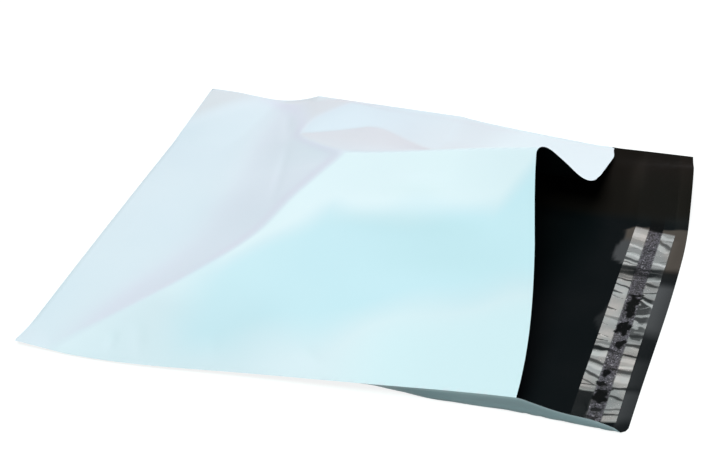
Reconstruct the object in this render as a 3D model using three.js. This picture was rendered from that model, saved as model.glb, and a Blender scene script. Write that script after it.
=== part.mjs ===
import * as THREE from 'three';
import { ParametricGeometry } from 'three/addons/geometries/ParametricGeometry.js';
import { mergeGeometries, mergeVertices } from 'three/addons/utils/BufferGeometryUtils.js';

// A self-seal plastic mailing bag that lies on a table with its mouth part open.
// X runs from the bottom fold to the end of the flap, Y from the near weld to the far weld.

// Flat sizes of the bag in mm: width between the side welds, length from the bottom fold
// to the mouth, and the closing flap that runs on from the back panel.
const BAG_WIDTH = 230;
const BAG_LENGTH = 249;
const FLAP_LENGTH = 48;
const FILM_THICKNESS = 0.08;
const WELD_WIDTH = 1;
const FOLD_RADIUS = 0.4;

// The adhesive stripe across the flap and the release liner that covers it.
const LINER_WIDTH = 21;
const LINER_THICKNESS = 0.05;
const LINER_MARGIN = 6.5;
const STRIP_END_INSET = 0.5;
const ADHESIVE_WIDTH = 7.5;
const ADHESIVE_THICKNESS = 0.15;
const STRIP_CLEARANCE = 0.05;

// How the film lies. Heights and offsets are in mm.
const LAYER_GAP = 0.5;
const SEAM_REST = 1;
const CORNER_LIFT = 1.8;
const NEAR_LIFT = 10.8;
const NEAR_DRAW = 20;
const FLAP_NEAR_DRAW = 4.5;
const FLAP_NEAR_DROP = 11.2;
const NEAR_REACH = 22;
const CURL_RADIUS = 4.5;
const FAR_BUMP = 7.2;
const FAR_DRAW = 4.5;
const FLAP_TIP_LIFT = 3;
const FLAP_END_DRAW = 9;
const HUMP_HEIGHT = 8.5;
const FLAP_HUMP = 6;
const MOUTH_SETBACK = 24;
const MOUTH_RETURN = 22.5;
const VALLEY_START = 11.5;
const VALLEY_RISE = 11.5;
const FAR_CREST = 4;
const RIDGE_ROUND = 4;
const VALLEY_ROUND = 5;
const FLANK_ROUND = 2.5;
const FAR_TAPER = 6;
const GAP_TAPER = 12;

// Slopes of the front panel: its near face towards the bottom fold and at the mouth, the
// flank that falls towards the bottom fold, and the steep side beyond the ridge.
const FACE_SLOPE = 0.142;
const MOUTH_FACE_SLOPE = 0.4;
const FLANK_SLOPE = 0.4;
const LEE_SLOPE = 0.28;
const MOUTH_LEE_SLOPE = 1.55;

// How late each change sets in: 1 is even, more is later.
const LIFT_EASE = 1.7;
const LEE_EASE = 1.6;
const VALLEY_EASE = 1.3;
const END_EASE = 1.3;

// Places along the bag, as shares of its length from the bottom fold to the mouth.
const CORNER_END = 0.1;
const DRAW_END = 1.045;
const FOOT_PLACE = 0.193;
const FOOT_SKEW = 0.105;
const TURN_PLACE = 0.442;
const TURN_SOFTNESS = 0.08;
const BUMP_START = 0.17;
const BUMP_TOP = 0.28;
const BUMP_SLACK = 0.22;
const BUMP_FADE = 0.6;
const CREST_PLACE = 0.37;
const CREST_SPREAD = 0.105;
const CURL_START = 0.595;
const CURL_END = 0.852;

// Places across the bag, as shares of its width from the near weld to the far weld.
const FOOT_BEND = 0.435;
const RIDGE_PLACE = 0.665;
const RIDGE_SHIFT = 0.022;
const SETBACK_START = 0.087;
const SETBACK_END = 0.683;
const RETURN_START = 0.617;
const RETURN_END = 0.752;
const VALLEY_PLACE = 0.891;
const VALLEY_SHIFT = 0.152;
const VALLEY_BACKING = 0.6;
const CREST_ACROSS = 0.939;
const CREST_WIDTH = 0.048;
const HUMP_START = 0.785;
const HUMP_SKEW = 0.043;

// Mesh rows along the panels, and spans of columns across them that crowd where the film
// curls up at the near weld and where the front panel falls from its ridge.
const BAG_ROWS = 18;
const COLUMN_SPANS = [
  { end: 0.075, columns: 6 },
  { end: 0.6, columns: 13 },
  { end: 0.79, columns: 10 },
  { end: 1, columns: 9 },
];

const { clamp, lerp, smoothstep } = THREE.MathUtils;
const FLAP_END = BAG_LENGTH + FLAP_LENGTH;
const FAR_SIDE = BAG_WIDTH / 2;
const SLOPE_STEP = 1e-3;

function share(value, start, end) {
  return clamp((value - start) / (end - start), 0, 1);
}

function softRise(value, softness) {
  return softness * Math.log1p(Math.exp(value / softness));
}

function bell(value, centre, spread) {
  return Math.exp(-(((value - centre) / spread) ** 2));
}

function smoothMin(a, b, round) {
  const blend = clamp(0.5 + (0.5 * (b - a)) / round, 0, 1);
  return lerp(b, a, blend) - round * blend * (1 - blend);
}

function smoothMax(a, b, round) {
  return -smoothMin(-a, -b, round);
}

// The near weld: it is drawn inwards and lifted towards the mouth, and drops along the flap.
function nearSeam(x) {
  const along = x / BAG_LENGTH;
  const onFlap = share(x, BAG_LENGTH, FLAP_END);
  const drawn = NEAR_DRAW * smoothstep(along, CORNER_END, DRAW_END) + FLAP_NEAR_DRAW * onFlap;
  const lift = NEAR_LIFT * share(along, CORNER_END, 1) ** LIFT_EASE;
  const corner = CORNER_LIFT * share(along, CORNER_END, 0);
  const drop = FLAP_NEAR_DROP * smoothstep(onFlap, 0, 1);
  return { y: drawn - FAR_SIDE, z: Math.max(SEAM_REST + corner + lift - drop, SEAM_REST / 2) };
}

// The far weld: it stays straight and rises in one long bump.
function farSeam(x) {
  const along = x / BAG_LENGTH;
  const corner = CORNER_LIFT * share(along, CORNER_END, 0);
  const slack = 1 - BUMP_SLACK * share(along, BUMP_TOP, BUMP_FADE);
  const shape = smoothstep(along, BUMP_START, BUMP_TOP) * (1 - smoothstep(along, BUMP_FADE, 1));
  const tip = FLAP_TIP_LIFT * smoothstep(x, BAG_LENGTH, FLAP_END);
  return { y: FAR_SIDE, z: SEAM_REST + corner + FAR_BUMP * shape * slack + tip };
}

// Where the back panel leaves the table again on its far side and humps up to the far weld.
function humpHeight(x, y) {
  const along = x / BAG_LENGTH;
  const start = (HUMP_START - HUMP_SKEW * along - 0.5) * BAG_WIDTH;
  const across = share(y, start, FAR_SIDE);
  const height = HUMP_HEIGHT * clamp(along - FOOT_PLACE, 0, 1) + FLAP_HUMP * share(x, BAG_LENGTH, FLAP_END);
  return farSeam(x).z * across + height * Math.sin(Math.PI * across) ** 2;
}

// The back panel as a plain sheet that dips from the near weld to the table.
function restHeight(x, y) {
  const near = nearSeam(x);
  const dip = 1 - share(y, near.y, near.y + NEAR_REACH);
  return near.z * dip ** 2 + humpHeight(x, y);
}

// The back panel near the mouth: a wall below the near weld, a curl, and then the table.
function curledSection(x, across) {
  const near = nearSeam(x);
  const radius = Math.min(CURL_RADIUS, near.z);
  const wall = near.z - radius;
  const curl = (radius * Math.PI) / 2;
  const contact = near.y + radius;
  const walked = across * (wall + curl + FAR_SIDE - contact);
  if (walked < wall) {
    return { y: near.y, z: near.z - walked };
  }
  if (walked < wall + curl) {
    const turned = (walked - wall) / radius;
    return { y: contact - radius * Math.cos(turned), z: radius * (1 - Math.sin(turned)) };
  }
  const y = contact + walked - wall - curl;
  return { y, z: humpHeight(x, y) };
}

// A point on the inner face of the back panel. Row 0 is the bottom fold, row 1 the mouth
// and row 2 the end of the flap.
function backPoint(row, across) {
  const mouth = BAG_LENGTH - FAR_DRAW * across;
  const endDraw = FLAP_END_DRAW * share(across, RETURN_END, 1) ** END_EASE;
  const x = row < 1 ? mouth * row : lerp(mouth, FLAP_END - endDraw, row - 1);
  const near = nearSeam(x);
  const y = lerp(near.y, FAR_SIDE, across);
  const section = curledSection(x, across);
  const curled = smoothstep(x / BAG_LENGTH, CURL_START, CURL_END);
  return new THREE.Vector3(x, lerp(y, section.y, curled), lerp(restHeight(x, y), section.z, curled));
}

// The front panel's height: a near face and a flank that meet in a diagonal crease, a ridge
// along the bag that rises to the mouth, a steep lee side, and a valley before the far weld.
function frontHeight(x, y) {
  const along = x / BAG_LENGTH;
  const across = y / BAG_WIDTH + 0.5;
  const near = nearSeam(x);
  const turned = softRise(along - TURN_PLACE, TURN_SOFTNESS) / (1 - TURN_PLACE);
  const slope = lerp(FACE_SLOPE, MOUTH_FACE_SLOPE, turned);
  const face = near.z + slope * (y - near.y);
  const footBend = FOOT_SKEW * (1 - smoothstep(across, 0, FOOT_BEND));
  const flank = LAYER_GAP + FLANK_SLOPE * (x - (FOOT_PLACE - footBend) * BAG_LENGTH);
  const open = share(along, TURN_PLACE, 1);
  const ridge = (RIDGE_PLACE - RIDGE_SHIFT * open - 0.5) * BAG_WIDTH;
  const leeSlope = lerp(LEE_SLOPE, MOUTH_LEE_SLOPE, open ** LEE_EASE);
  const lee = near.z + slope * (ridge - near.y) - leeSlope * (y - ridge);
  const valley = (VALLEY_PLACE - VALLEY_SHIFT * open - 0.5) * BAG_WIDTH;
  const valleyZ = VALLEY_START + VALLEY_RISE * share(along, CREST_PLACE, 1) ** VALLEY_EASE;
  const beyond = clamp((y - valley) / (FAR_SIDE - valley), -VALLEY_BACKING, 1);
  const crest = FAR_CREST * bell(along, CREST_PLACE, CREST_SPREAD) * bell(across, CREST_ACROSS, CREST_WIDTH);
  const far = lerp(valleyZ, farSeam(x).z, beyond) + crest;
  const ridged = smoothMin(face, smoothMax(lee, far, VALLEY_ROUND), RIDGE_ROUND);
  return smoothMin(ridged, flank, FLANK_ROUND);
}

// A point on the inner face of the front panel, from the bottom fold at row 0 to the mouth at
// row 1. The mouth edge stands back where the panel is lifted.
function frontPoint(row, across) {
  const setback = MOUTH_SETBACK * smoothstep(across, SETBACK_START, SETBACK_END);
  const returned = MOUTH_RETURN * smoothstep(across, RETURN_START, RETURN_END);
  const straight = BAG_LENGTH - FAR_DRAW * across;
  const settled = (MOUTH_SETBACK - MOUTH_RETURN) * smoothstep(across, RETURN_END, 1);
  const x = (straight - setback + returned + settled) * row;
  const near = nearSeam(x);
  const y = lerp(near.y, FAR_SIDE, across);
  const rest = restHeight(x, y);
  const farTaper = share(FAR_SIDE - y, 0, FAR_TAPER);
  const edge = Math.min(x, y - near.y, FAR_SIDE - y);
  const gap = LAYER_GAP * share(edge, 0, GAP_TAPER);
  const rise = Math.max((frontHeight(x, y) - rest) * farTaper, gap);
  return new THREE.Vector3(x, y, rest + (row === 0 ? 0 : rise));
}

// The upward normal of a panel at one of its points.
function normalAt(panel, lastRow, row, across) {
  const ahead = panel(Math.min(row + SLOPE_STEP, lastRow), across);
  const behind = panel(Math.max(row - SLOPE_STEP, 0), across);
  const farther = panel(row, Math.min(across + SLOPE_STEP, 1));
  const nearer = panel(row, Math.max(across - SLOPE_STEP, 0));
  return ahead.sub(behind).cross(farther.sub(nearer)).normalize();
}

// Which way the film runs out over a side edge of a panel.
function outwardAt(panel, row, side) {
  const inside = panel(row, side === 0 ? SLOPE_STEP : 1 - SLOPE_STEP);
  return panel(row, side).sub(inside).normalize();
}

// How far the outer skin stands out from the inner one at the welds, the fold and the flap's sides.
function rimShift(row, across) {
  const shift = new THREE.Vector3(row === 0 ? -FOLD_RADIUS : 0, 0, 0);
  if (across > 0 && across < 1) {
    return shift;
  }
  const outward = outwardAt(backPoint, row, across);
  if (row <= 1) {
    outward.add(outwardAt(frontPoint, row, across)).normalize();
  }
  return shift.addScaledVector(outward, WELD_WIDTH);
}

function frontOuter(row, across) {
  const raised = normalAt(frontPoint, 1, row, across).multiplyScalar(FILM_THICKNESS);
  return frontPoint(row, across).add(raised).add(rimShift(row, across));
}

function backOuter(row, across) {
  const raised = normalAt(backPoint, 2, row, across).multiplyScalar(-FILM_THICKNESS);
  return backPoint(row, across).add(raised).add(rimShift(row, across));
}

function backInner(row, across) {
  const point = backPoint(row, across);
  return row > 1 ? point.add(rimShift(row, across)) : point;
}

// A point at a height above the flap's inner face.
function aboveFlap(row, across, height) {
  return backPoint(row, across).addScaledVector(normalAt(backPoint, 2, row, across), height);
}

// Columns across a panel, from weld to weld, with one where the strips on the flap end.
function columnPlaces() {
  const inset = STRIP_END_INSET / BAG_WIDTH;
  const places = [0, inset];
  COLUMN_SPANS.forEach((span) => {
    const start = places[places.length - 1];
    for (let column = 1; column <= span.columns; column += 1) {
      places.push(lerp(start, span.end - inset * span.end, column / span.columns));
    }
  });
  return [...places, 1];
}

// Rows along the flap: the mouth, the liner's and the adhesive's edges, and the flap's end.
function flapRows() {
  const linerEnd = FLAP_LENGTH - LINER_MARGIN;
  const middle = linerEnd - LINER_WIDTH / 2;
  const stripe = [middle - ADHESIVE_WIDTH / 2, middle + ADHESIVE_WIDTH / 2];
  const edges = [0, linerEnd - LINER_WIDTH, ...stripe, linerEnd, FLAP_LENGTH];
  return edges.map((edge) => 1 + edge / FLAP_LENGTH);
}

const COLUMNS = columnPlaces();
const STRIP_COLUMNS = COLUMNS.slice(1, -1);
const FLAP_ROWS = flapRows();
const LINER_ROWS = FLAP_ROWS.slice(1, 5);
const ADHESIVE_ROWS = FLAP_ROWS.slice(2, 4);
const ROWS = Array.from({ length: BAG_ROWS + 1 }, (_, row) => row / BAG_ROWS);

// A sheet of facets over the given places. Its face looks along (first places) x (second places).
function patch(point, firstPlaces, secondPlaces) {
  const slices = firstPlaces.length - 1;
  const stacks = secondPlaces.length - 1;
  const place = (u, v, target) => {
    target.copy(point(firstPlaces[Math.round(u * slices)], secondPlaces[Math.round(v * stacks)]));
  };
  const sheet = new ParametricGeometry(place, slices, stacks);
  sheet.deleteAttribute('normal');
  sheet.deleteAttribute('uv');
  return sheet;
}

// A one-facet-wide strip from one edge curve to another.
function strip(places, fromEdge, toEdge) {
  return patch((place, side) => (side === 0 ? fromEdge(place) : toEdge(place)), places, [0, 1]);
}

function triangle(a, b, c) {
  const facet = new THREE.BufferGeometry().setFromPoints([a, b, c]);
  return facet.setIndex([0, 1, 2]);
}

function upward(panel, rows, columns) {
  return patch(panel, rows, columns);
}

function downward(panel, rows, columns) {
  return patch((across, row) => panel(row, across), columns, rows);
}

function bagFilm() {
  const outside = mergeGeometries([
    upward(frontOuter, ROWS, COLUMNS),
    downward(backOuter, ROWS, COLUMNS),
    downward(backOuter, FLAP_ROWS, COLUMNS),
    strip(ROWS, (row) => backOuter(row, 0), (row) => frontOuter(row, 0)),
    strip(ROWS, (row) => frontOuter(row, 1), (row) => backOuter(row, 1)),
    strip(COLUMNS, (across) => frontOuter(0, across), (across) => backOuter(0, across)),
    strip(COLUMNS, (across) => frontPoint(1, across), (across) => frontOuter(1, across)),
    strip(COLUMNS, (across) => backOuter(2, across), (across) => backInner(2, across)),
    strip(FLAP_ROWS, (row) => backOuter(row, 0), (row) => backInner(row, 0)),
    strip(FLAP_ROWS, (row) => backInner(row, 1), (row) => backOuter(row, 1)),
    triangle(frontPoint(1, 0), frontOuter(1, 0), backOuter(1, 0)),
    triangle(frontPoint(1, 1), backOuter(1, 1), frontOuter(1, 1)),
  ]);
  const inside = mergeGeometries([
    downward(frontPoint, ROWS, COLUMNS),
    upward(backInner, ROWS, COLUMNS),
    upward(backInner, FLAP_ROWS, COLUMNS),
  ]);
  return mergeVertices(mergeGeometries([outside, inside], true));
}

// A thin closed strip over the flap between two heights.
function flapStrip(rows, low, high) {
  const bottom = (row, across) => aboveFlap(row, across, low);
  const top = (row, across) => aboveFlap(row, across, high);
  const inner = rows[0];
  const outer = rows[rows.length - 1];
  const near = STRIP_COLUMNS[0];
  const far = STRIP_COLUMNS[STRIP_COLUMNS.length - 1];
  return mergeVertices(
    mergeGeometries([
      upward(top, rows, STRIP_COLUMNS),
      downward(bottom, rows, STRIP_COLUMNS),
      strip(rows, (row) => bottom(row, near), (row) => top(row, near)),
      strip(rows, (row) => top(row, far), (row) => bottom(row, far)),
      strip(STRIP_COLUMNS, (across) => top(inner, across), (across) => bottom(inner, across)),
      strip(STRIP_COLUMNS, (across) => bottom(outer, across), (across) => top(outer, across)),
    ]),
  );
}

const outsideFilm = new THREE.MeshStandardMaterial({ color: 0xdbeef5, roughness: 0.42, metalness: 0 });
const insideFilm = new THREE.MeshStandardMaterial({ color: 0x0c0d0e, roughness: 0.25, metalness: 0 });
const adhesive = new THREE.MeshStandardMaterial({ color: 0x2a2b2c, roughness: 0.35, metalness: 0 });
const liner = new THREE.MeshStandardMaterial({
  color: 0xc9cccd,
  roughness: 0.15,
  metalness: 0,
  transparent: true,
  opacity: 0.4,
});

const adhesiveTop = STRIP_CLEARANCE + ADHESIVE_THICKNESS;
const linerBottom = adhesiveTop + STRIP_CLEARANCE;

const film = new THREE.Mesh(bagFilm(), [outsideFilm, insideFilm]);
film.name = 'bag_film';
const stripe = new THREE.Mesh(flapStrip(ADHESIVE_ROWS, STRIP_CLEARANCE, adhesiveTop), adhesive);
stripe.name = 'adhesive_strip';
const cover = new THREE.Mesh(flapStrip(LINER_ROWS, linerBottom, linerBottom + LINER_THICKNESS), liner);
cover.name = 'release_liner';

const bag = new THREE.Group();
bag.add(film, stripe, cover);

// The origin is on the table, below the middle of the whole bag.
const box = new THREE.Box3().setFromObject(bag);
const middle = box.getCenter(new THREE.Vector3());
bag.children.forEach((mesh) => mesh.geometry.translate(-middle.x, -middle.y, -box.min.z));

export default bag;
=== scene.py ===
"""Dress for a self-seal plastic mailing bag that lies part open, white outside and black inside.

The flap lies out on the floor and carries a stripe of adhesive under a crumpled clear liner.
"""

import logging
import math
from abc import ABC, abstractmethod
from collections.abc import Callable
from dataclasses import dataclass, field
from enum import Enum
from typing import Any

import bpy
import numpy as np
from mathutils import Matrix, Vector


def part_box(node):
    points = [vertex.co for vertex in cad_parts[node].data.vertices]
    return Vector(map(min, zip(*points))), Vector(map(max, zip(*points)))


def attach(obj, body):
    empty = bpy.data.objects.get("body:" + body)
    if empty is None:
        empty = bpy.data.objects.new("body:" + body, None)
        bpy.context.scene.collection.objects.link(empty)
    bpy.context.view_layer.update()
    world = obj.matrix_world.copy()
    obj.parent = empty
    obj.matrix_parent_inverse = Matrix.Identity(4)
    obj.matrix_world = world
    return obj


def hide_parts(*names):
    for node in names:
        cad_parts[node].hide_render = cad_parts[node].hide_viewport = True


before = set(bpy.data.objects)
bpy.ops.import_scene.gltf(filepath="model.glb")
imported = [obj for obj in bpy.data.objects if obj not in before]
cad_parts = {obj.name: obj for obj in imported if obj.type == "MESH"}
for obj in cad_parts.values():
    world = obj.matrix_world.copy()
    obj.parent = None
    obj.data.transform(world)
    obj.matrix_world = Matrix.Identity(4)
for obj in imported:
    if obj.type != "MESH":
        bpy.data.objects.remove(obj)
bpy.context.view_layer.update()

Array = np.ndarray
Triple = tuple[float, float, float]
Colour = Triple
Place = tuple[float, float]
Waves = tuple[float, int]
Laid = tuple[Array, dict[str, Array]]
Placer = Callable[[Array, Array], Laid]

LOG = logging.getLogger("mailing_bag")
BODY = "root"
MILLIMETRE = 0.001
HAIR = 1e-6
RIPPLE_WAVES = 8
RIPPLE_SPREAD = (0.65, 1.5)
RIPPLE_CALM = 4.0


class Node(Enum):
    """The CAD nodes that the pieces stand for."""

    FILM = "bag_film"
    ADHESIVE = "adhesive_strip"
    LINER = "release_liner"


class Slot(Enum):
    """The material slots' names."""

    FILM = "film"
    ADHESIVE = "adhesive"
    LINER = "liner"


class Hold(Enum):
    """How a sheet is held."""

    LAID = "laid"


# Maths of the lying film


def share(value: Array, start: float | Array, end: float | Array) -> Array:
    """Gives how far a value has come from start to end, held between 0 and 1."""
    return np.clip((value - start) / (end - start), 0.0, 1.0)


def ease(value: Array, start: float | Array, end: float | Array) -> Array:
    """Gives the same share with a soft start and stop."""
    part = share(value, start, end)
    return part * part * (3.0 - 2.0 * part)


def soft_step(value: Array, place: float | Array, reach: float) -> Array:
    """Gives 0 before a place and 1 behind it, with a soft turn that reaches as far to both sides."""
    return ease(value, place - reach, place + reach)


def bell(value: Array, centre: float | Array, spread: float) -> Array:
    """Gives a bump of height 1 at the centre that fades over the spread."""
    return np.exp(-(((value - centre) / spread) ** 2))


def soft_rise(value: Array, softness: float) -> Array:
    """Gives a ramp that starts at 0 and turns softly upwards."""
    return softness * np.log1p(np.exp(value / softness))


def mix(first: Array | float, second: Array | float, part: Array | float) -> Array:
    """Gives the value that lies the given part of the way from first to second."""
    return first + (second - first) * part


def follow(value: Array, bends: tuple[Place, ...]) -> Array:
    """Gives the height of a line through a few bends, level beyond its ends."""
    return np.interp(value, *zip(*bends))


def lower_of(first: Array, second: Array, radius: float | Array) -> Array:
    """Gives the lower of two heights, rounded where they cross.

    Args:
        first: One height, in metres.
        second: The other height, in metres.
        radius: How far the rounding reaches, in metres.

    Returns:
        The rounded lower height.
    """
    part = np.clip(0.5 + 0.5 * (second - first) / radius, 0.0, 1.0)
    return mix(second, first, part) - radius * part * (1.0 - part)


def higher_of(first: Array, second: Array, radius: float | Array) -> Array:
    """Gives the higher of two heights, rounded where they cross."""
    return -lower_of(-first, -second, radius)


def ripples(x: Array, y: Array, wavelength: float, seed: int) -> Array:
    """Adds up a few plane waves into a gentle uneven swell.

    Args:
        x: Places along, in metres.
        y: Places across, in metres.
        wavelength: The middle wavelength, in metres.
        seed: The seed of the waves' directions and phases.

    Returns:
        Heights of about -1 to 1.
    """
    chance = np.random.default_rng(seed)
    total = np.zeros(np.broadcast(x, y).shape)
    for _ in range(RIPPLE_WAVES):
        angle, phase = chance.uniform(0.0, math.tau, 2)
        pace = math.tau / (wavelength * chance.uniform(*RIPPLE_SPREAD))
        total += np.sin(pace * (x * math.cos(angle) + y * math.sin(angle)) + phase)
    return total / RIPPLE_CALM


def segment_distance(x: Array, y: Array, start: Place, end: Place) -> tuple[Array, Array]:
    """Measures places against a straight segment.

    Args:
        x: Places along.
        y: Places across.
        start: The segment's start.
        end: The segment's end.

    Returns:
        The distance to the segment, and how far along it the nearest point lies, from 0 to 1.
    """
    run, rise = end[0] - start[0], end[1] - start[1]
    part = ((x - start[0]) * run + (y - start[1]) * rise) / (run * run + rise * rise)
    part = np.clip(part, 0.0, 1.0)
    return np.hypot(x - start[0] - part * run, y - start[1] - part * rise), part


@dataclass(frozen=True)
class Fade:
    """A soft step from 0 at its start to 1 at its end, which falls where the end is the lower value."""

    start: float
    end: float

    def __call__(self, value: Array) -> Array:
        """Gives the step at each value."""
        return ease(value, self.start, self.end)


@dataclass(frozen=True)
class Crease:
    """A soft straight crease in the film, by x from the bottom fold and y from the middle, in metres."""

    start: Place
    end: Place
    height: float
    spread: float
    end_ease: float = 0.7

    def lift(self, x: Array, y: Array) -> Array:
        """Gives the crease's height over the film, down where the height is negative."""
        distance, part = segment_distance(x, y, self.start, self.end)
        return self.height * bell(distance, 0.0, self.spread) * np.sin(math.pi * part) ** self.end_ease


@dataclass(frozen=True)
class SideWelds:
    """Where the two welded sides lie, by x from the bottom fold, in metres and in shares of the length."""

    width: float = 0.230
    length: float = 0.249
    flap: float = 0.048
    rest: float = 0.001
    corner_lift: float = 0.0018
    corner_end: float = 0.1
    near_lift: float = 0.0108
    near_ease: float = 1.7
    near_draw: float = 0.020
    near_tuck: float = 0.0022
    tuck_place: float = 0.45
    tuck_spread: float = 0.22
    draw_end: float = 1.045
    flap_draw: float = 0.0015
    flap_drop: float = 0.0102
    drop_ease: float = 1.35
    flap_swell: float = 0.0022
    swell_place: float = 0.7
    swell_spread: float = 0.25
    far_lift: float = 0.00255
    lift_fade: Place = (0.047, 0.2035)
    far_bump: float = 0.0078
    bump_start: float = 0.103
    bump_top: float = 0.279
    bump_ease: float = 2.68
    bump_slack: float = 0.06
    bump_fade: float = 0.635
    fade_ease: float = 0.7
    tip_lift: float = 0.0022
    tip_start: float = 0.95
    tip_ease: float = 0.6

    @property
    def far_side(self) -> float:
        """The far weld's y."""
        return self.width / 2.0

    @property
    def flap_end(self) -> float:
        """The x of the flap's end."""
        return self.length + self.flap

    def side(self, across: Array) -> Array:
        """Gives the y of a share of the bag's flat width."""
        return (across - 0.5) * self.width

    def near(self, x: Array) -> tuple[Array, Array]:
        """Gives the near weld's line.

        Args:
            x: Places from the bottom fold.

        Returns:
            The weld's y and z at each place.
        """
        along = x / self.length
        on_flap = share(x, self.length, self.flap_end)
        y = (
            self.near_draw * ease(along, self.corner_end, self.draw_end)
            + self.near_tuck * bell(along, self.tuck_place, self.tuck_spread)
            + self.flap_draw * on_flap
            - self.far_side
        )
        z = (
            self.rest
            + self.corner_lift * share(along, self.corner_end, 0.0)
            + self.near_lift * share(along, self.corner_end, 1.0) ** self.near_ease
            - self.flap_drop * (1.0 - (1.0 - on_flap) ** self.drop_ease)
            + self.flap_swell * bell(on_flap, self.swell_place, self.swell_spread)
        )
        return y, np.maximum(z, self.rest / 2.0)

    def far(self, x: Array) -> Array:
        """Gives the far weld's height.

        Args:
            x: Places from the bottom fold.

        Returns:
            The weld's z at each place.
        """
        along = x / self.length
        bump = share(along, self.bump_start, self.bump_top) ** self.bump_ease
        bump = bump * (1.0 - share(along, self.bump_fade, 1.0) ** self.fade_ease)
        return (
            self.rest
            + self.far_lift * (1.0 - ease(along, *self.lift_fade))
            + self.far_bump * bump * (1.0 - self.bump_slack * share(along, self.bump_top, self.bump_fade))
            + self.tip_lift * share(x, self.tip_start * self.length, self.flap_end) ** self.tip_ease
        )


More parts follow.
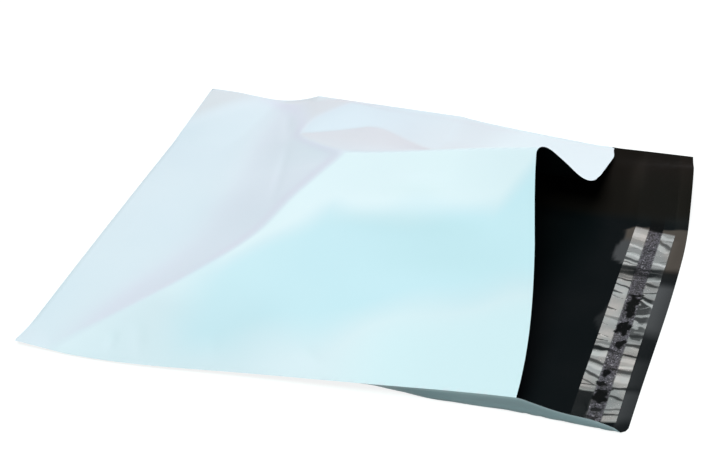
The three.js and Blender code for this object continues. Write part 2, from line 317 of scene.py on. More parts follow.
@dataclass(frozen=True)
class BackPanel:
    """The panel that lies on the floor and runs on into the flap, curled up along its near side."""

    welds: SideWelds = field(default_factory=SideWelds)
    near_reach: float = 0.022
    curl_radius: float = 0.002
    curl_start: float = 0.6
    curl_end: float = 0.87
    undercut: float = 0.0016
    undercut_heights: Place = (0.005, 0.011)
    undercut_fade: float = 3.0
    fold_skew: float = 0.0034
    corner_round: float = 0.0006
    round_across: float = 0.008
    round_along: float = 0.01
    near_pull: float = 0.0016
    pull_reach: float = 0.35
    far_draw: float = 0.004
    tip_round: float = 0.0055
    tip_reach: float = 0.03
    end_draw: float = 0.0091
    end_draw_start: float = 0.6
    end_ease: float = 1.78
    end_bulge: float = 0.0014
    bulge_place: float = 0.46
    bulge_spread: float = 0.26
    strip_draw_start: float = 0.72
    hump_height: float = 0.0085
    flap_hump: float = 0.006
    hump_start: float = 0.767
    hump_skew: float = 0.043
    hump_foot: float = 0.193

    def hump(self, x: Array, y: Array) -> Array:
        """Gives the long hump along the far weld.

        Args:
            x: Places from the bottom fold.
            y: Places from the middle.

        Returns:
            The panel's height there, 0 beside the hump.
        """
        welds = self.welds
        along = x / welds.length
        start = welds.side(self.hump_start - self.hump_skew * along)
        part = share(y, start, welds.far_side)
        height = self.hump_height * np.clip(along - self.hump_foot, 0.0, 1.0)
        height = height + self.flap_hump * share(x, welds.length, welds.flap_end)
        return welds.far(x) * part + height * np.sin(math.pi * part) ** 2

    def rest_height(self, x: Array, y: Array) -> Array:
        """Gives the panel's height where its near side is only lifted, not curled."""
        near_y, near_z = self.welds.near(x)
        return near_z * (1.0 - share(y, near_y, near_y + self.near_reach)) ** 2 + self.hump(x, y)

    def curled(self, x: Array, across: Array) -> tuple[Array, Array]:
        """Gives the section of the panel where its near side stands up in a round curl.

        Args:
            x: Places from the bottom fold.
            across: Shares of the way from the near weld to the far one.

        Returns:
            The y and z of each place.
        """
        near_y, near_z = self.welds.near(x)
        radius = np.minimum(self.curl_radius, near_z)
        wall = near_z - radius
        curl = radius * math.pi / 2.0
        contact = near_y + radius
        walked = across * (wall + curl + self.welds.far_side - contact)
        turned = (walked - wall) / radius
        flat_y = contact + walked - wall - curl
        on_wall, on_curl = walked < wall, walked < wall + curl
        tucked = self.undercut * share(near_z, *self.undercut_heights) * ease(walked, -HAIR, wall)
        tucked = tucked * share(walked, wall + self.undercut_fade * curl, wall)
        curl_y, curl_z = contact - radius * np.cos(turned), radius * (1.0 - np.sin(turned))
        y = np.where(on_wall, near_y, np.where(on_curl, curl_y, flat_y)) + tucked
        z = np.where(on_wall, near_z - walked, np.where(on_curl, curl_z, self.hump(x, flat_y)))
        return y, z

    def mouth_line(self, across: Array) -> Array:
        """Gives the x where the flap starts across the panel."""
        pulled = self.near_pull * (1.0 - share(across, 0.0, self.pull_reach))
        return self.welds.length - self.far_draw * across - pulled

    def flap_line(self, across: Array) -> Array:
        """Gives the flap's end before its near corner is rounded.

        Args:
            across: Shares of the way from the near weld to the far one.

        Returns:
            The x of the end at each share.
        """
        drawn = self.end_draw * share(across, self.end_draw_start, 1.0) ** self.end_ease
        bulge = self.end_bulge * bell(across, self.bulge_place, self.bulge_spread)
        return self.welds.flap_end + bulge - drawn

    def strip_line(self, across: Array) -> Array:
        """Gives the straighter x that the strips on the flap are laid from."""
        return self.welds.flap_end - self.end_draw * share(across, self.strip_draw_start, 1.0)

    def flap_tip(self, across: Array) -> Array:
        """Gives the x of the flap's end with its near corner rounded."""
        return self.flap_line(across) - self.tip_round * (1.0 - share(across, 0.0, self.tip_reach)) ** 2

    def row_before_end(self, distance: float | Array, across: Array) -> Array:
        """Gives the row that lies a distance back from the strips' line."""
        mouth = self.mouth_line(across)
        return 1.0 + (self.strip_line(across) - distance - mouth) / (self.flap_tip(across) - mouth)

    def fold_shift(self, row: Array, across: Array) -> Array:
        """Gives how far the bottom fold runs off square, less towards the mouth, with its corners rounded.

        Args:
            row: 0 at the bottom fold, 1 at the mouth.
            across: Shares of the way from the near weld to the far one.

        Returns:
            The shift along x, in metres.
        """
        corner = (1.0 - share(np.minimum(across, 1.0 - across), 0.0, self.round_across)) ** 2
        corner = corner * (1.0 - share(row, 0.0, self.round_along))
        return self.corner_round * corner - self.fold_skew * (1.0 - across**2) * (1.0 - row)

    def points(self, row: Array, across: Array) -> Array:
        """Places the panel.

        Args:
            row: 0 at the bottom fold, 1 at the mouth, 2 at the flap's end.
            across: Shares of the way from the near weld to the far one.

        Returns:
            One point for each place, with x from the bottom fold.
        """
        welds = self.welds
        mouth = self.mouth_line(across)
        on_flap = mix(mouth, self.flap_tip(across), row - 1.0)
        x = np.where(row < 1.0, mouth * row + self.fold_shift(row, across), on_flap)
        near_y, _ = welds.near(x)
        y = mix(near_y, welds.far_side, across)
        curled_y, curled_z = self.curled(x, across)
        part = ease(x / welds.length, self.curl_start, self.curl_end)
        z = mix(self.rest_height(x, y), curled_z, part)
        return np.stack([x, mix(y, curled_y, part), z], axis=-1)

    def normals(self, row: Array, across: Array) -> Array:
        """Gives the direction out of the panel's black side.

        Args:
            row: The panel's rows, as for its points.
            across: Shares of the way from the near weld to the far one.

        Returns:
            One unit vector for each place.
        """
        step = 1e-4
        along = self.points(row + step, across) - self.points(row - step, across)
        over = self.points(row, across + step) - self.points(row, across - step)
        out = np.cross(along, over)
        return out / np.linalg.norm(out, axis=-1, keepdims=True)


@dataclass(frozen=True)
class FrontPanel:
    """The panel that stands off the back one, with its mouth edge drawn back."""

    back: BackPanel = field(default_factory=BackPanel)
    layer_gap: float = 0.0005
    gap_taper: float = 0.012
    far_taper: float = 0.006
    face_slope: float = 0.142
    mouth_slope: float = 0.4159
    turn_place: float = 0.442
    turn_softness: float = 0.08
    flank_slope: float = 0.35
    flank_bow: float = 0.75
    foot_softness: float = 0.0082
    flank_gain: float = 0.022
    gain_side: Fade = Fade(-0.02, 0.012)
    flank_steepening: float = 0.1
    steep_side: Fade = Fade(0.035, 0.07)
    corner_slope: float = 0.26
    corner_place: Place = (0.092, 0.103)
    corner_height: float = 0.0135
    corner_reach: float = 0.03
    corner_bow: float = 4.0
    corner_round: float = 0.0028
    foot_place: float = 0.193
    foot_skew: float = 0.105
    foot_bend: float = 0.435
    ridge_place: float = 0.6827
    ridge_shift: float = 0.0441
    ridge_round: float = 0.0016
    mouth_ridge_round: float = 0.0169
    ridge_ease: int = 4
    lee_slope: float = 0.36
    mouth_lee_slope: float = 2.6646
    lee_ease: float = 1.6
    valley_place: float = 0.872
    valley_shift: float = 0.088
    valley_start: float = 0.0115
    valley_rise: float = 0.0096
    valley_ease: float = 1.3
    valley_round: float = 0.0006
    mouth_valley_round: float = 0.0089
    round_ease: int = 3
    valley_backing: float = 0.6
    pinch_spread: float = 0.12
    pinch_shift: float = 0.006
    pinch_drop: float = 0.001
    crest: float = 0.0036
    crest_place: float = 0.37
    crest_start: Place = (0.092, 0.103)
    crest_end: Place = (0.074, 0.066)
    crest_spread: float = 0.02
    flank_round: float = 0.0007
    setback: float = 0.0264
    setback_start: float = 0.0095
    setback_end: float = 0.7711
    comeback: float = 0.0296
    comeback_start: float = 0.589
    comeback_end: float = 0.7098
    return_start: float = 0.9
    vee_draw: float = 0.001
    vee_spread: float = 0.02
    swell: float = 0.00025
    swell_waves: Waves = (0.06, 11)
    creases: tuple[Crease, ...] = (
        Crease((0.064, -0.113), (0.052, -0.086), -0.0007, 0.0035),
        Crease((0.046, -0.111), (0.043, -0.096), -0.0008, 0.0025),
        Crease((0.056, 0.099), (0.072, 0.064), -0.0005, 0.003),
        Crease((0.072, 0.064), (0.087, 0.000), -0.0005, 0.003),
        Crease((0.128, 0.008), (0.060, -0.082), 0.0011, 0.009),
        Crease((0.118, 0.000), (0.215, -0.010), 0.0012, 0.009),
        Crease((0.150, -0.040), (0.230, -0.035), -0.0010, 0.012),
        Crease((0.093, -0.085), (0.099, -0.104), -0.0005, 0.0035),
        Crease((0.139, -0.086), (0.154, -0.096), -0.0004, 0.003),
        Crease((0.144, 0.017), (0.186, 0.013), 0.0004, 0.005),
    )

    def _flank(self, x: Array, y: Array) -> Array:
        """Works out the flank, which climbs from the bottom fold and turns askew at its far corner.

        Args:
            x: Places from the bottom fold.
            y: Places from the middle.

        Returns:
            The flank's height.
        """
        welds = self.back.welds
        bend = self.foot_skew * (1.0 - ease(y / welds.width + 0.5, 0.0, self.foot_bend))
        climb = x - (self.foot_place - bend) * welds.length
        steep = self.flank_slope + self.flank_gain * self.gain_side(y)
        steep = steep + self.flank_steepening * self.steep_side(y)
        flank = self.layer_gap + steep * soft_rise(climb, self.foot_softness)
        flank = flank + self.flank_bow * np.maximum(climb, 0.0) ** 2
        askew = (x - self.corner_place[0] - y + self.corner_place[1]) / math.sqrt(2.0)
        bowed = self.corner_bow * np.maximum(askew - self.corner_reach, 0.0) ** 2
        return lower_of(flank, self.corner_height + self.corner_slope * askew + bowed, self.corner_round)

    def _beyond_valley(self, x: Array, y: Array) -> Array:
        """Works out the far side, from the valley behind the ridge to the far weld.

        Args:
            x: Places from the bottom fold.
            y: Places from the middle.

        Returns:
            The far side's height.
        """
        welds = self.back.welds
        along = x / welds.length
        opened = share(along, self.turn_place, 1.0)
        pinch = bell(along, self.crest_place, self.pinch_spread)
        valley = welds.side(self.valley_place - self.valley_shift * opened) - self.pinch_shift * pinch
        risen = self.valley_rise * share(along, self.crest_place, 1.0) ** self.valley_ease
        valley_z = self.valley_start + risen - self.pinch_drop * pinch
        beyond = np.clip((y - valley) / (welds.far_side - valley), -self.valley_backing, 1.0)
        off_crest, _ = segment_distance(x, y, self.crest_start, self.crest_end)
        return mix(valley_z, welds.far(x), beyond) + self.crest * bell(off_crest, 0.0, self.crest_spread)

    def _sides(self, x: Array, y: Array) -> Array:
        """Works out the face, which rises from the near weld, with its ridge and all that lies behind it.

        Args:
            x: Places from the bottom fold.
            y: Places from the middle.

        Returns:
            The height of the face, the lee side or the far side.
        """
        welds = self.back.welds
        along = x / welds.length
        near_y, near_z = welds.near(x)
        turned = soft_rise(along - self.turn_place, self.turn_softness) / (1.0 - self.turn_place)
        slope = mix(self.face_slope, self.mouth_slope, turned)
        face = near_z + slope * (y - near_y)
        opened = share(along, self.turn_place, 1.0)
        ridge = welds.side(self.ridge_place - self.ridge_shift * opened)
        fall = mix(self.lee_slope, self.mouth_lee_slope, opened**self.lee_ease)
        lee = near_z + slope * (ridge - near_y) - fall * (y - ridge)
        valley_round = mix(self.valley_round, self.mouth_valley_round, opened**self.round_ease)
        behind = higher_of(lee, self._beyond_valley(x, y), valley_round)
        return lower_of(face, behind, mix(self.ridge_round, self.mouth_ridge_round, opened**self.ridge_ease))

    def height(self, x: Array, y: Array) -> Array:
        """Gives the panel's height."""
        return lower_of(self._sides(x, y), self._flank(x, y), self.flank_round)

    def lie(self, x: Array, y: Array) -> tuple[Array, Array, Array]:
        """Gives how the panel lies.

        Args:
            x: Places from the bottom fold.
            y: Places from the middle.

        Returns:
            The slope along, the slope across, and how far the flank's plane lies over the face.
        """
        step = 0.0015
        along = (self.height(x + step, y) - self.height(x - step, y)) / (2.0 * step)
        across = (self.height(x, y + step) - self.height(x, y - step)) / (2.0 * step)
        return along, across, self._flank(x, y) - self._sides(x, y)

    def detail(self, x: Array, y: Array) -> Array:
        """Gives the small swells and creases of the slack film.

        Args:
            x: Places from the bottom fold.
            y: Places from the middle.

        Returns:
            The height over the smooth form.
        """
        lift = self.swell * ripples(x, y, *self.swell_waves)
        for crease in self.creases:
            lift = lift + crease.lift(x, y)
        return lift

    def mouth(self, across: Array) -> Array:
        """Gives the mouth edge, drawn back along the face and forward again past the ridge.

        Args:
            across: Shares of the way from the near weld to the far one.

        Returns:
            The x of the edge at each share.
        """
        return (
            self.back.mouth_line(across)
            - self.setback * ease(across, self.setback_start, self.setback_end)
            + self.comeback * ease(across, self.comeback_start, self.comeback_end)
            + (self.setback - self.comeback) * ease(across, self.return_start, 1.0)
            - self.vee_draw * bell(across, self.comeback_end, self.vee_spread)
        )

    def points(self, row: Array, across: Array) -> Array:
        """Places the panel.

        Args:
            row: 0 at the bottom fold, 1 at the mouth edge.
            across: Shares of the way from the near weld to the far one.

        Returns:
            One point for each place, with x from the bottom fold.
        """
        welds = self.back.welds
        x = self.mouth(across) * row + self.back.fold_shift(row, across)
        near_y, _ = welds.near(x)
        y = mix(near_y, welds.far_side, across)
        rest = self.back.rest_height(x, y)
        inside = np.minimum(np.minimum(row * welds.length, y - near_y), welds.far_side - y)
        loose = share(inside, 0.0, self.gap_taper)
        rise = (self.height(x, y) - rest) * share(welds.far_side - y, 0.0, self.far_taper)
        rise = np.maximum(rise + self.detail(x, y) * loose, self.layer_gap * loose)
        return np.stack([x, y, rest + np.where(row > 0.0, rise, 0.0)], axis=-1)


# Bench work


def deselect_all() -> None:
    """Clears the selection, so that an operator meets only what is chosen next."""
    bpy.ops.object.select_all(action="DESELECT")


def choose(*pieces: bpy.types.Object) -> None:
    """Selects some pieces and nothing else.

    Args:
        *pieces: The pieces, of which the first becomes the active one.
    """
    deselect_all()
    for piece in pieces:
        piece.select_set(True)
    bpy.context.view_layer.objects.active = pieces[0]


def grid_piece(name: str, rows: int, columns: int, lay: Placer) -> bpy.types.Object:
    """Adds a grid, lays its points as the form says and stores the form's marks for the finish to read.

    Args:
        name: The piece's name.
        rows: Faces along the grid's first direction.
        columns: Faces along its second direction.
        lay: Gives points and named marks for pairs of shares, from 0 to 1, along the two directions.

    Returns:
        The piece, at the origin, with its place in its mesh.
    """
    deselect_all()
    bpy.ops.mesh.primitive_grid_add(x_subdivisions=rows, y_subdivisions=columns, size=1.0, calc_uvs=True)
    piece = bpy.context.object
    piece.name = piece.data.name = name
    steps = np.empty(len(piece.data.vertices) * 3)
    piece.data.vertices.foreach_get("co", steps)
    steps = np.clip(steps.reshape(-1, 3) + 0.5, 0.0, 1.0)
    points, marks = lay(steps[:, 0], steps[:, 1])
    piece.data.vertices.foreach_set("co", points.ravel())
    piece.data.update()
    for mark, values in marks.items():
        attribute = piece.data.attributes.new(mark, "FLOAT", "POINT")
        attribute.data.foreach_set("value", np.asarray(values, np.float32))
    return piece


def turn_over(piece: bpy.types.Object) -> None:
    """Makes a piece's faces point the other way.

    Args:
        piece: The piece.
    """
    choose(piece)
    bpy.ops.object.mode_set(mode="EDIT")
    bpy.ops.mesh.select_all(action="SELECT")
    bpy.ops.mesh.flip_normals()
    bpy.ops.object.mode_set(mode="OBJECT")


def weld_panels(main: bpy.types.Object, other: bpy.types.Object) -> None:
    """Joins two panels and merges the points that they share along their edges.

    Args:
        main: The panel that goes on as the joined piece.
        other: The panel that is taken into it.
    """
    choose(main, other)
    bpy.ops.object.join()
    bpy.ops.object.mode_set(mode="EDIT")
    bpy.ops.mesh.select_all(action="SELECT")
    bpy.ops.mesh.remove_doubles(threshold=HAIR)
    bpy.ops.object.mode_set(mode="OBJECT")


def thicken(piece: bpy.types.Object, thickness: float, inner_slot: int = 0) -> None:
    """Gives a sheet its thickness along its faces' direction with a Solidify modifier, and applies it.

    Args:
        piece: The sheet.
        thickness: The wall, in metres.
        inner_slot: How far the new skin's material slot lies after the old one's.
    """
    choose(piece)
    solid = piece.modifiers.new("wall", "SOLIDIFY")
    solid.thickness = thickness
    solid.offset = 1.0
    solid.use_rim = True
    solid.material_offset = inner_slot
    solid.material_offset_rim = inner_slot
    bpy.ops.object.modifier_apply(modifier=solid.name)


def smooth(piece: bpy.types.Object, degrees: float) -> None:
    """Shades the piece smooth up to an edge angle."""
    choose(piece)
    bpy.ops.object.shade_smooth_by_angle(angle=math.radians(degrees))


# Shader bench


class Value:
    """A socket that takes part in Python arithmetic and adds Math nodes as it goes."""

    def __init__(self, sheet: "NodeSheet", socket: bpy.types.NodeSocket) -> None:
        """Wraps one output socket of a node sheet."""
        self.sheet = sheet
        self.socket = socket

    def _math(self, operation: str, first: Any, second: Any) -> "Value":
        """Adds a Math node on two values."""
        return self.sheet.node("ShaderNodeMath", {"operation": operation}, {0: first, 1: second})

    def __add__(self, other: Any) -> "Value":
        """Adds a value."""
        return self._math("ADD", self, other)

    def __radd__(self, other: Any) -> "Value":
        """Is added to a number."""
        return self._math("ADD", other, self)

    def __mul__(self, other: Any) -> "Value":
        """Multiplies by a value."""
        return self._math("MULTIPLY", self, other)

    def __rmul__(self, other: Any) -> "Value":
        """Multiplies a number."""
        return self._math("MULTIPLY", other, self)

    def held(self, start: float, end: float) -> "Value":
        """Gives the soft share from start to end."""
        inputs = {"Value": self, "From Min": start, "From Max": end}
        return self.sheet.node("ShaderNodeMapRange", {"interpolation_type": "SMOOTHSTEP"}, inputs)


class NodeSheet:
    """A material's or world's nodes, added one call at a time."""

    def __init__(self, tree: bpy.types.NodeTree) -> None:
        """Starts on an emptied node tree."""
        self.tree = tree
        tree.nodes.clear()

    @classmethod
    def for_material(cls, name: str) -> tuple[bpy.types.Material, "NodeSheet"]:
        """Starts a new material.

        Args:
            name: The material's name.

        Returns:
            The material and a sheet on its nodes.
        """
        material = bpy.data.materials.new(name)
        material.use_nodes = True
        return material, cls(material.node_tree)

    @staticmethod
    def _find(sockets: Any, key: int | str) -> bpy.types.NodeSocket:
        """Finds one of a node's sockets.

        Args:
            sockets: The node's inputs or outputs.
            key: The socket's place, its identifier or its name.

        Returns:
            The socket.
        """
        if isinstance(key, int):
            return sockets[key]
        return next((socket for socket in sockets if socket.identifier == key), None) or sockets[key]

    def node(
        self,
        kind: str,
        settings: dict[str, Any] | None = None,
        inputs: dict[int | str, Any] | None = None,
        output: int | str = 0,
    ) -> Value:
        """Adds one node.

        Args:
            kind: The node's type.
            settings: Its own settings, such as a Math node's operation, set first.
            inputs: The values or links of its sockets.
            output: The socket to give back.

        Returns:
            The chosen output, or the first input of a node that has none.
        """
        node = self.tree.nodes.new(kind)
        for name, setting in (settings or {}).items():
            setattr(node, name, setting)
        for key, value in (inputs or {}).items():
            socket = self._find(node.inputs, key)
            if isinstance(value, Value):
                self.tree.links.new(value.socket, socket)
            elif isinstance(value, tuple) and socket.type == "RGBA":
                socket.default_value = (*value, 1.0)
            else:
                socket.default_value = value
        return Value(self, self._find(node.outputs, output) if node.outputs else node.inputs[0])

    def place(self) -> Value:
        """Gives the piece's own Object coordinates."""
        return self.node("ShaderNodeTexCoord", output="Object")

    def noise(self, place: Value, scale: float, detail: float = 2.0, rough: float = 0.5) -> Value:
        """Gives a noise of about 0 to 1."""
        inputs = {"Vector": place, "Scale": scale, "Detail": detail, "Roughness": rough}
        return self.node("ShaderNodeTexNoise", None, inputs)

    def stretched(self, place: Value, scale: Triple) -> Value:
        """Gives coordinates scaled by its own factor each way."""
        return self.node("ShaderNodeMapping", None, {"Vector": place, "Scale": scale})

    def colours(self, part: Value, first: Any, second: Any) -> Value:
        """Mixes two colours."""
        inputs = {"Factor_Float": part, "A_Color": first, "B_Color": second}
        return self.node("ShaderNodeMix", {"data_type": "RGBA"}, inputs, "Result_Color")

    def bump(self, height: Value, strength: float, distance: float) -> Value:
        """Gives normals from a height."""
        inputs = {"Height": height, "Strength": strength, "Distance": distance}
        return self.node("ShaderNodeBump", None, inputs, "Normal")

    def looked_at(self) -> Value:
        """Tells whether the camera sees the surface, straight, mirrored or through something clear.

        Returns:
            1 where the camera sees it, 0 on a ray that only carries light.
        """
        camera = self.node("ShaderNodeLightPath", None, None, "Is Camera Ray")
        glossy = self.node("ShaderNodeLightPath", None, None, "Is Glossy Ray")
        return camera + glossy + self.node("ShaderNodeLightPath", None, None, "Is Transmission Ray")

    def marks(self, name: str) -> Value:
        """Reads a number that the piece stores at each point."""
        return self.node("ShaderNodeAttribute", {"attribute_name": name}, None, "Fac")

    def surface(self, inputs: dict[int | str, Any]) -> None:
        """Closes the sheet with a Principled shader and the material's output."""
        shader = self.node("ShaderNodeBsdfPrincipled", None, inputs)
        self.node("ShaderNodeOutputMaterial", None, {"Surface": shader})


@dataclass(frozen=True)
class FilmSkin:
    """The fine skin of a blown film: soft clouds, lines along its draw, and a grain."""

    cloud_scale: float
    draw_scale: Triple
    grain_scale: float
    roughness: float
    draw_rough: float
    grain_rough: float
    draw_bump: float
    grain_bump: float
    bump_strength: float
    gloss_level: float
    bump_depth: float = 0.00002

    def clouds(self, sheet: NodeSheet) -> Value:
        """Gives the soft clouds."""
        return sheet.noise(sheet.place(), self.cloud_scale, detail=3.0)

    def close(self, sheet: NodeSheet, tone: Value, rough: Value | float = 0.0) -> None:
        """Closes a sheet with a colour, on the skin's own shine and relief.

        Args:
            sheet: The film's sheet.
            tone: The colour.
            rough: The roughness beyond the skin's own.
        """
        place = sheet.place()
        draw = sheet.noise(sheet.stretched(place, self.draw_scale), 1.0)
        grain = sheet.noise(place, self.grain_scale)
        relief = draw * self.draw_bump + grain * self.grain_bump
        sheet.surface(
            {
                "Base Color": tone,
                "Roughness": self.roughness + rough + draw * self.draw_rough + grain * self.grain_rough,
                "Specular IOR Level": self.gloss_level,
                "Normal": sheet.bump(relief, self.bump_strength, self.bump_depth),
            }
        )


@dataclass(frozen=True)
class WhiteFilm:
    """The outside: a white, faintly blue polythene with a satin skin, with painted light and shade mixed
    into its colour by its marks.
    """

    colour: Colour = (0.71, 0.815, 0.88)
    pale: Colour = (0.735, 0.83, 0.89)
    # The next five colours are painted light and shade, not the film's own: cyan light on the lit face, warm
    # light where the film turns from the front, lilac shade on the flank, pale painted light and painted
    # shade.
    cyan_light: Colour = (0.615, 0.83, 0.902)
    warm_light: Colour = (0.73, 0.777, 0.817)
    lilac_shade: Colour = (0.744, 0.775, 0.874)
    painted_light_colour: Colour = (0.80, 0.92, 0.957)
    shaded: Colour = (0.31, 0.475, 0.535)
    pale_clouds: Place = (0.3, 0.7)
    # How strongly the painted light and shade show, varied by the clouds.
    least_tint: float = 0.8
    cloud_tint: float = 0.4
    skin: FilmSkin = FilmSkin(
        cloud_scale=16.0,
        draw_scale=(40.0, 900.0, 40.0),
        grain_scale=1400.0,
        roughness=0.33,
        draw_rough=0.12,
        grain_rough=0.06,
        draw_bump=0.6,
        grain_bump=0.4,
        bump_strength=0.25,
        gloss_level=0.3,
    )

    def material(self) -> bpy.types.Material:
        """Builds the finish from its nodes.

        Returns:
            The outside's material.
        """
        material, sheet = NodeSheet.for_material("white_film")
        cloud = self.skin.clouds(sheet)
        tone = sheet.colours(cloud.held(*self.pale_clouds), self.colour, self.pale)
        # Paints light and shade over the film's colour, each by its mark: pale light, lilac shade, warm
        # light, cyan light and shade.
        painted_lights = {
            "painted_light": self.painted_light_colour,
            "lilac_shade": self.lilac_shade,
            "painted_warm_light": self.warm_light,
            "painted_cyan_light": self.cyan_light,
            "painted_shade": self.shaded,
        }
        for name, tint in painted_lights.items():
            tone = sheet.colours(sheet.marks(name) * (self.least_tint + self.cloud_tint * cloud), tone, tint)
        self.skin.close(sheet, tone)
        return material


@dataclass(frozen=True)
class BlackFilm:
    """The inside: a black polythene with a dull shine, browner by its marks and with a painted sheen where
    they say.
    """

    colour: Colour = (0.0044, 0.0064, 0.0073)
    dusty: Colour = (0.0058, 0.0076, 0.0085)
    brown: Colour = (0.0092, 0.0077, 0.0063)
    # The next two colours are painted sheen, brown where the film browns and grey elsewhere.
    brown_sheen: Colour = (0.215, 0.183, 0.158)
    grey_sheen: Colour = (0.176, 0.18, 0.186)
    dusty_clouds: Place = (0.35, 0.75)
    # How strongly the painted sheen shows, varied by the clouds.
    least_sheen: float = 0.85
    cloud_sheen: float = 0.3
    brown_rough: float = 0.5
    skin: FilmSkin = FilmSkin(
        cloud_scale=30.0,
        draw_scale=(60.0, 1100.0, 60.0),
        grain_scale=1500.0,
        roughness=0.26,
        draw_rough=0.05,
        grain_rough=0.06,
        draw_bump=0.3,
        grain_bump=0.7,
        bump_strength=0.12,
        gloss_level=0.04,
    )

    def material(self) -> bpy.types.Material:
        """Builds the finish from its nodes.

        Returns:
            The inside's material.
        """
        material, sheet = NodeSheet.for_material("black_film")
        cloud = self.skin.clouds(sheet)
        browned = sheet.marks("browning")
        clean = sheet.colours(cloud.held(*self.dusty_clouds), self.colour, self.dusty)
        # Lays the painted sheen over the black, by its mark.
        tone = sheet.colours(
            sheet.marks("painted_sheen") * (self.least_sheen + self.cloud_sheen * cloud),
            sheet.colours(browned, clean, self.brown),
            sheet.colours(browned, self.grey_sheen, self.brown_sheen),
        )
        self.skin.close(sheet, tone, browned * self.brown_rough)
        return material


@dataclass(frozen=True)
class PressureAdhesive:
    """The stripe of adhesive: mottled grey where the liner's grip has whitened it, wet black elsewhere."""

    wet: Colour = (0.0045, 0.0050, 0.0052)
    dull: Colour = (0.105, 0.096, 0.118)
    fleck: Colour = (0.42, 0.40, 0.44)
    brown: Colour = (0.0092, 0.0077, 0.0063)
    dot_scale: float = 1100.0
    dot_clouds: Place = (0.4, 0.6)
    fleck_scale: float = 900.0
    fleck_clouds: Place = (0.66, 0.74)
    least_dull: float = 0.08
    roughness: float = 0.28
    brown_rough: float = 0.5
    dull_rough: float = 0.4
    gloss_level: float = 0.04
    bump_strength: float = 0.4
    bump_depth: float = 0.00006

    def material(self) -> bpy.types.Material:
        """Builds the finish from its nodes.

        Returns:
            The adhesive's material.
        """
        material, sheet = NodeSheet.for_material("adhesive")
        place = sheet.place()
        dots = sheet.noise(place, self.dot_scale, detail=3.0, rough=0.65).held(*self.dot_clouds)
        flecks = sheet.noise(place, self.fleck_scale, detail=1.0).held(*self.fleck_clouds)
        whitened, browned = sheet.marks("whitening"), sheet.marks("browning")
        part = whitened * (self.least_dull + (1.0 - self.least_dull) * dots)
        mottled = sheet.colours(part, sheet.colours(browned, self.wet, self.brown), self.dull)
        sheet.surface(
            {
                "Base Color": sheet.colours(whitened * flecks, mottled, self.fleck),
                "Roughness": self.roughness + browned * self.brown_rough + part * self.dull_rough,
                "Specular IOR Level": self.gloss_level,
                "Normal": sheet.bump(dots * whitened, self.bump_strength, self.bump_depth),
            }
        )
        return material


@dataclass(frozen=True)
class ClearLiner:
    """The release liner: a clear glossy film that turns silvery where it is crumpled, the silver being its
    milkiness with painted reflections and glints.
    """

    # Both colours are painted reflection, shown where the haze mark lets the liner cover the black.
    silver_reflection: Colour = (0.60, 0.615, 0.61)
    warm_light: Colour = (0.70, 0.655, 0.625)
    cloud_scale: float = 55.0
    warm_clouds: Place = (0.4, 0.65)
    grain_scale: float = 1800.0
    least_haze: float = 0.93
    grain_haze: float = 0.14
    roughness: float = 0.12
    grain_rough: float = 0.1
    gloss_level: float = 0.35
    bump_strength: float = 0.15
    bump_depth: float = 0.00003

    def material(self) -> bpy.types.Material:
        """Builds the finish from its nodes.

        Returns:
            The liner's material.
        """
        material, sheet = NodeSheet.for_material("clear_liner")
        place = sheet.place()
        cloud = sheet.noise(place, self.cloud_scale, detail=3.0)
        grain = sheet.noise(place, self.grain_scale)
        sheet.surface(
            {
                "Base Color": sheet.colours(cloud.held(*self.warm_clouds), self.silver_reflection, self.warm_light),
                "Roughness": self.roughness + grain * self.grain_rough,
                "Specular IOR Level": self.gloss_level,
                # The haze mark holds the crumpled film's milkiness and its painted reflections and glints.
                "Alpha": sheet.marks("haze_and_glint") * (self.least_haze + self.grain_haze * grain),
                "Normal": sheet.bump(grain, self.bump_strength, self.bump_depth),
            }
        )
        return material


@dataclass(frozen=True)
class PaleFloor:
    """A pale floor that shows white, and keeps the bag's shadow."""

    colour: Colour = (0.24, 0.27, 0.26)
    speck: Colour = (0.2376, 0.2673, 0.2574)
    speck_scale: float = 60.0
    glow: float = 0.86
    glow_colour: Colour = (1.0, 1.0, 1.0)

    def material(self) -> bpy.types.Material:
        """Builds the finish from its nodes.

        Returns:
            The floor's material.
        """
        material, sheet = NodeSheet.for_material("pale_floor")
        tone = sheet.colours(sheet.noise(sheet.place(), self.speck_scale), self.colour, self.speck)
        matt = sheet.node("ShaderNodeBsdfDiffuse", None, {"Color": tone})
        light = sheet.node("ShaderNodeEmission", None, {"Color": self.glow_colour, "Strength": self.glow})
        shown = sheet.node("ShaderNodeAddShader", None, {0: matt, 1: light})
        mixed = sheet.node("ShaderNodeMixShader", None, {0: sheet.looked_at(), 1: matt, 2: shown})
        sheet.node("ShaderNodeOutputMaterial", None, {"Surface": mixed})
        return material


# The bag


@dataclass(frozen=True)
class StripPlan:
    """Where the liner and its adhesive lie: back from the flap's end, and along the run in full view."""

    margin: float = 0.006
    width: float = 0.0207
    stuck_start: float = 0.34
    stuck_end: float = 0.685
    run_start: float = 0.0285
    run_share: float = 0.6642

    def run(self, across: Array) -> Array:
        """Gives how far along the run in view each share of the bag's width lies."""
        return (across - self.run_start) / self.run_share


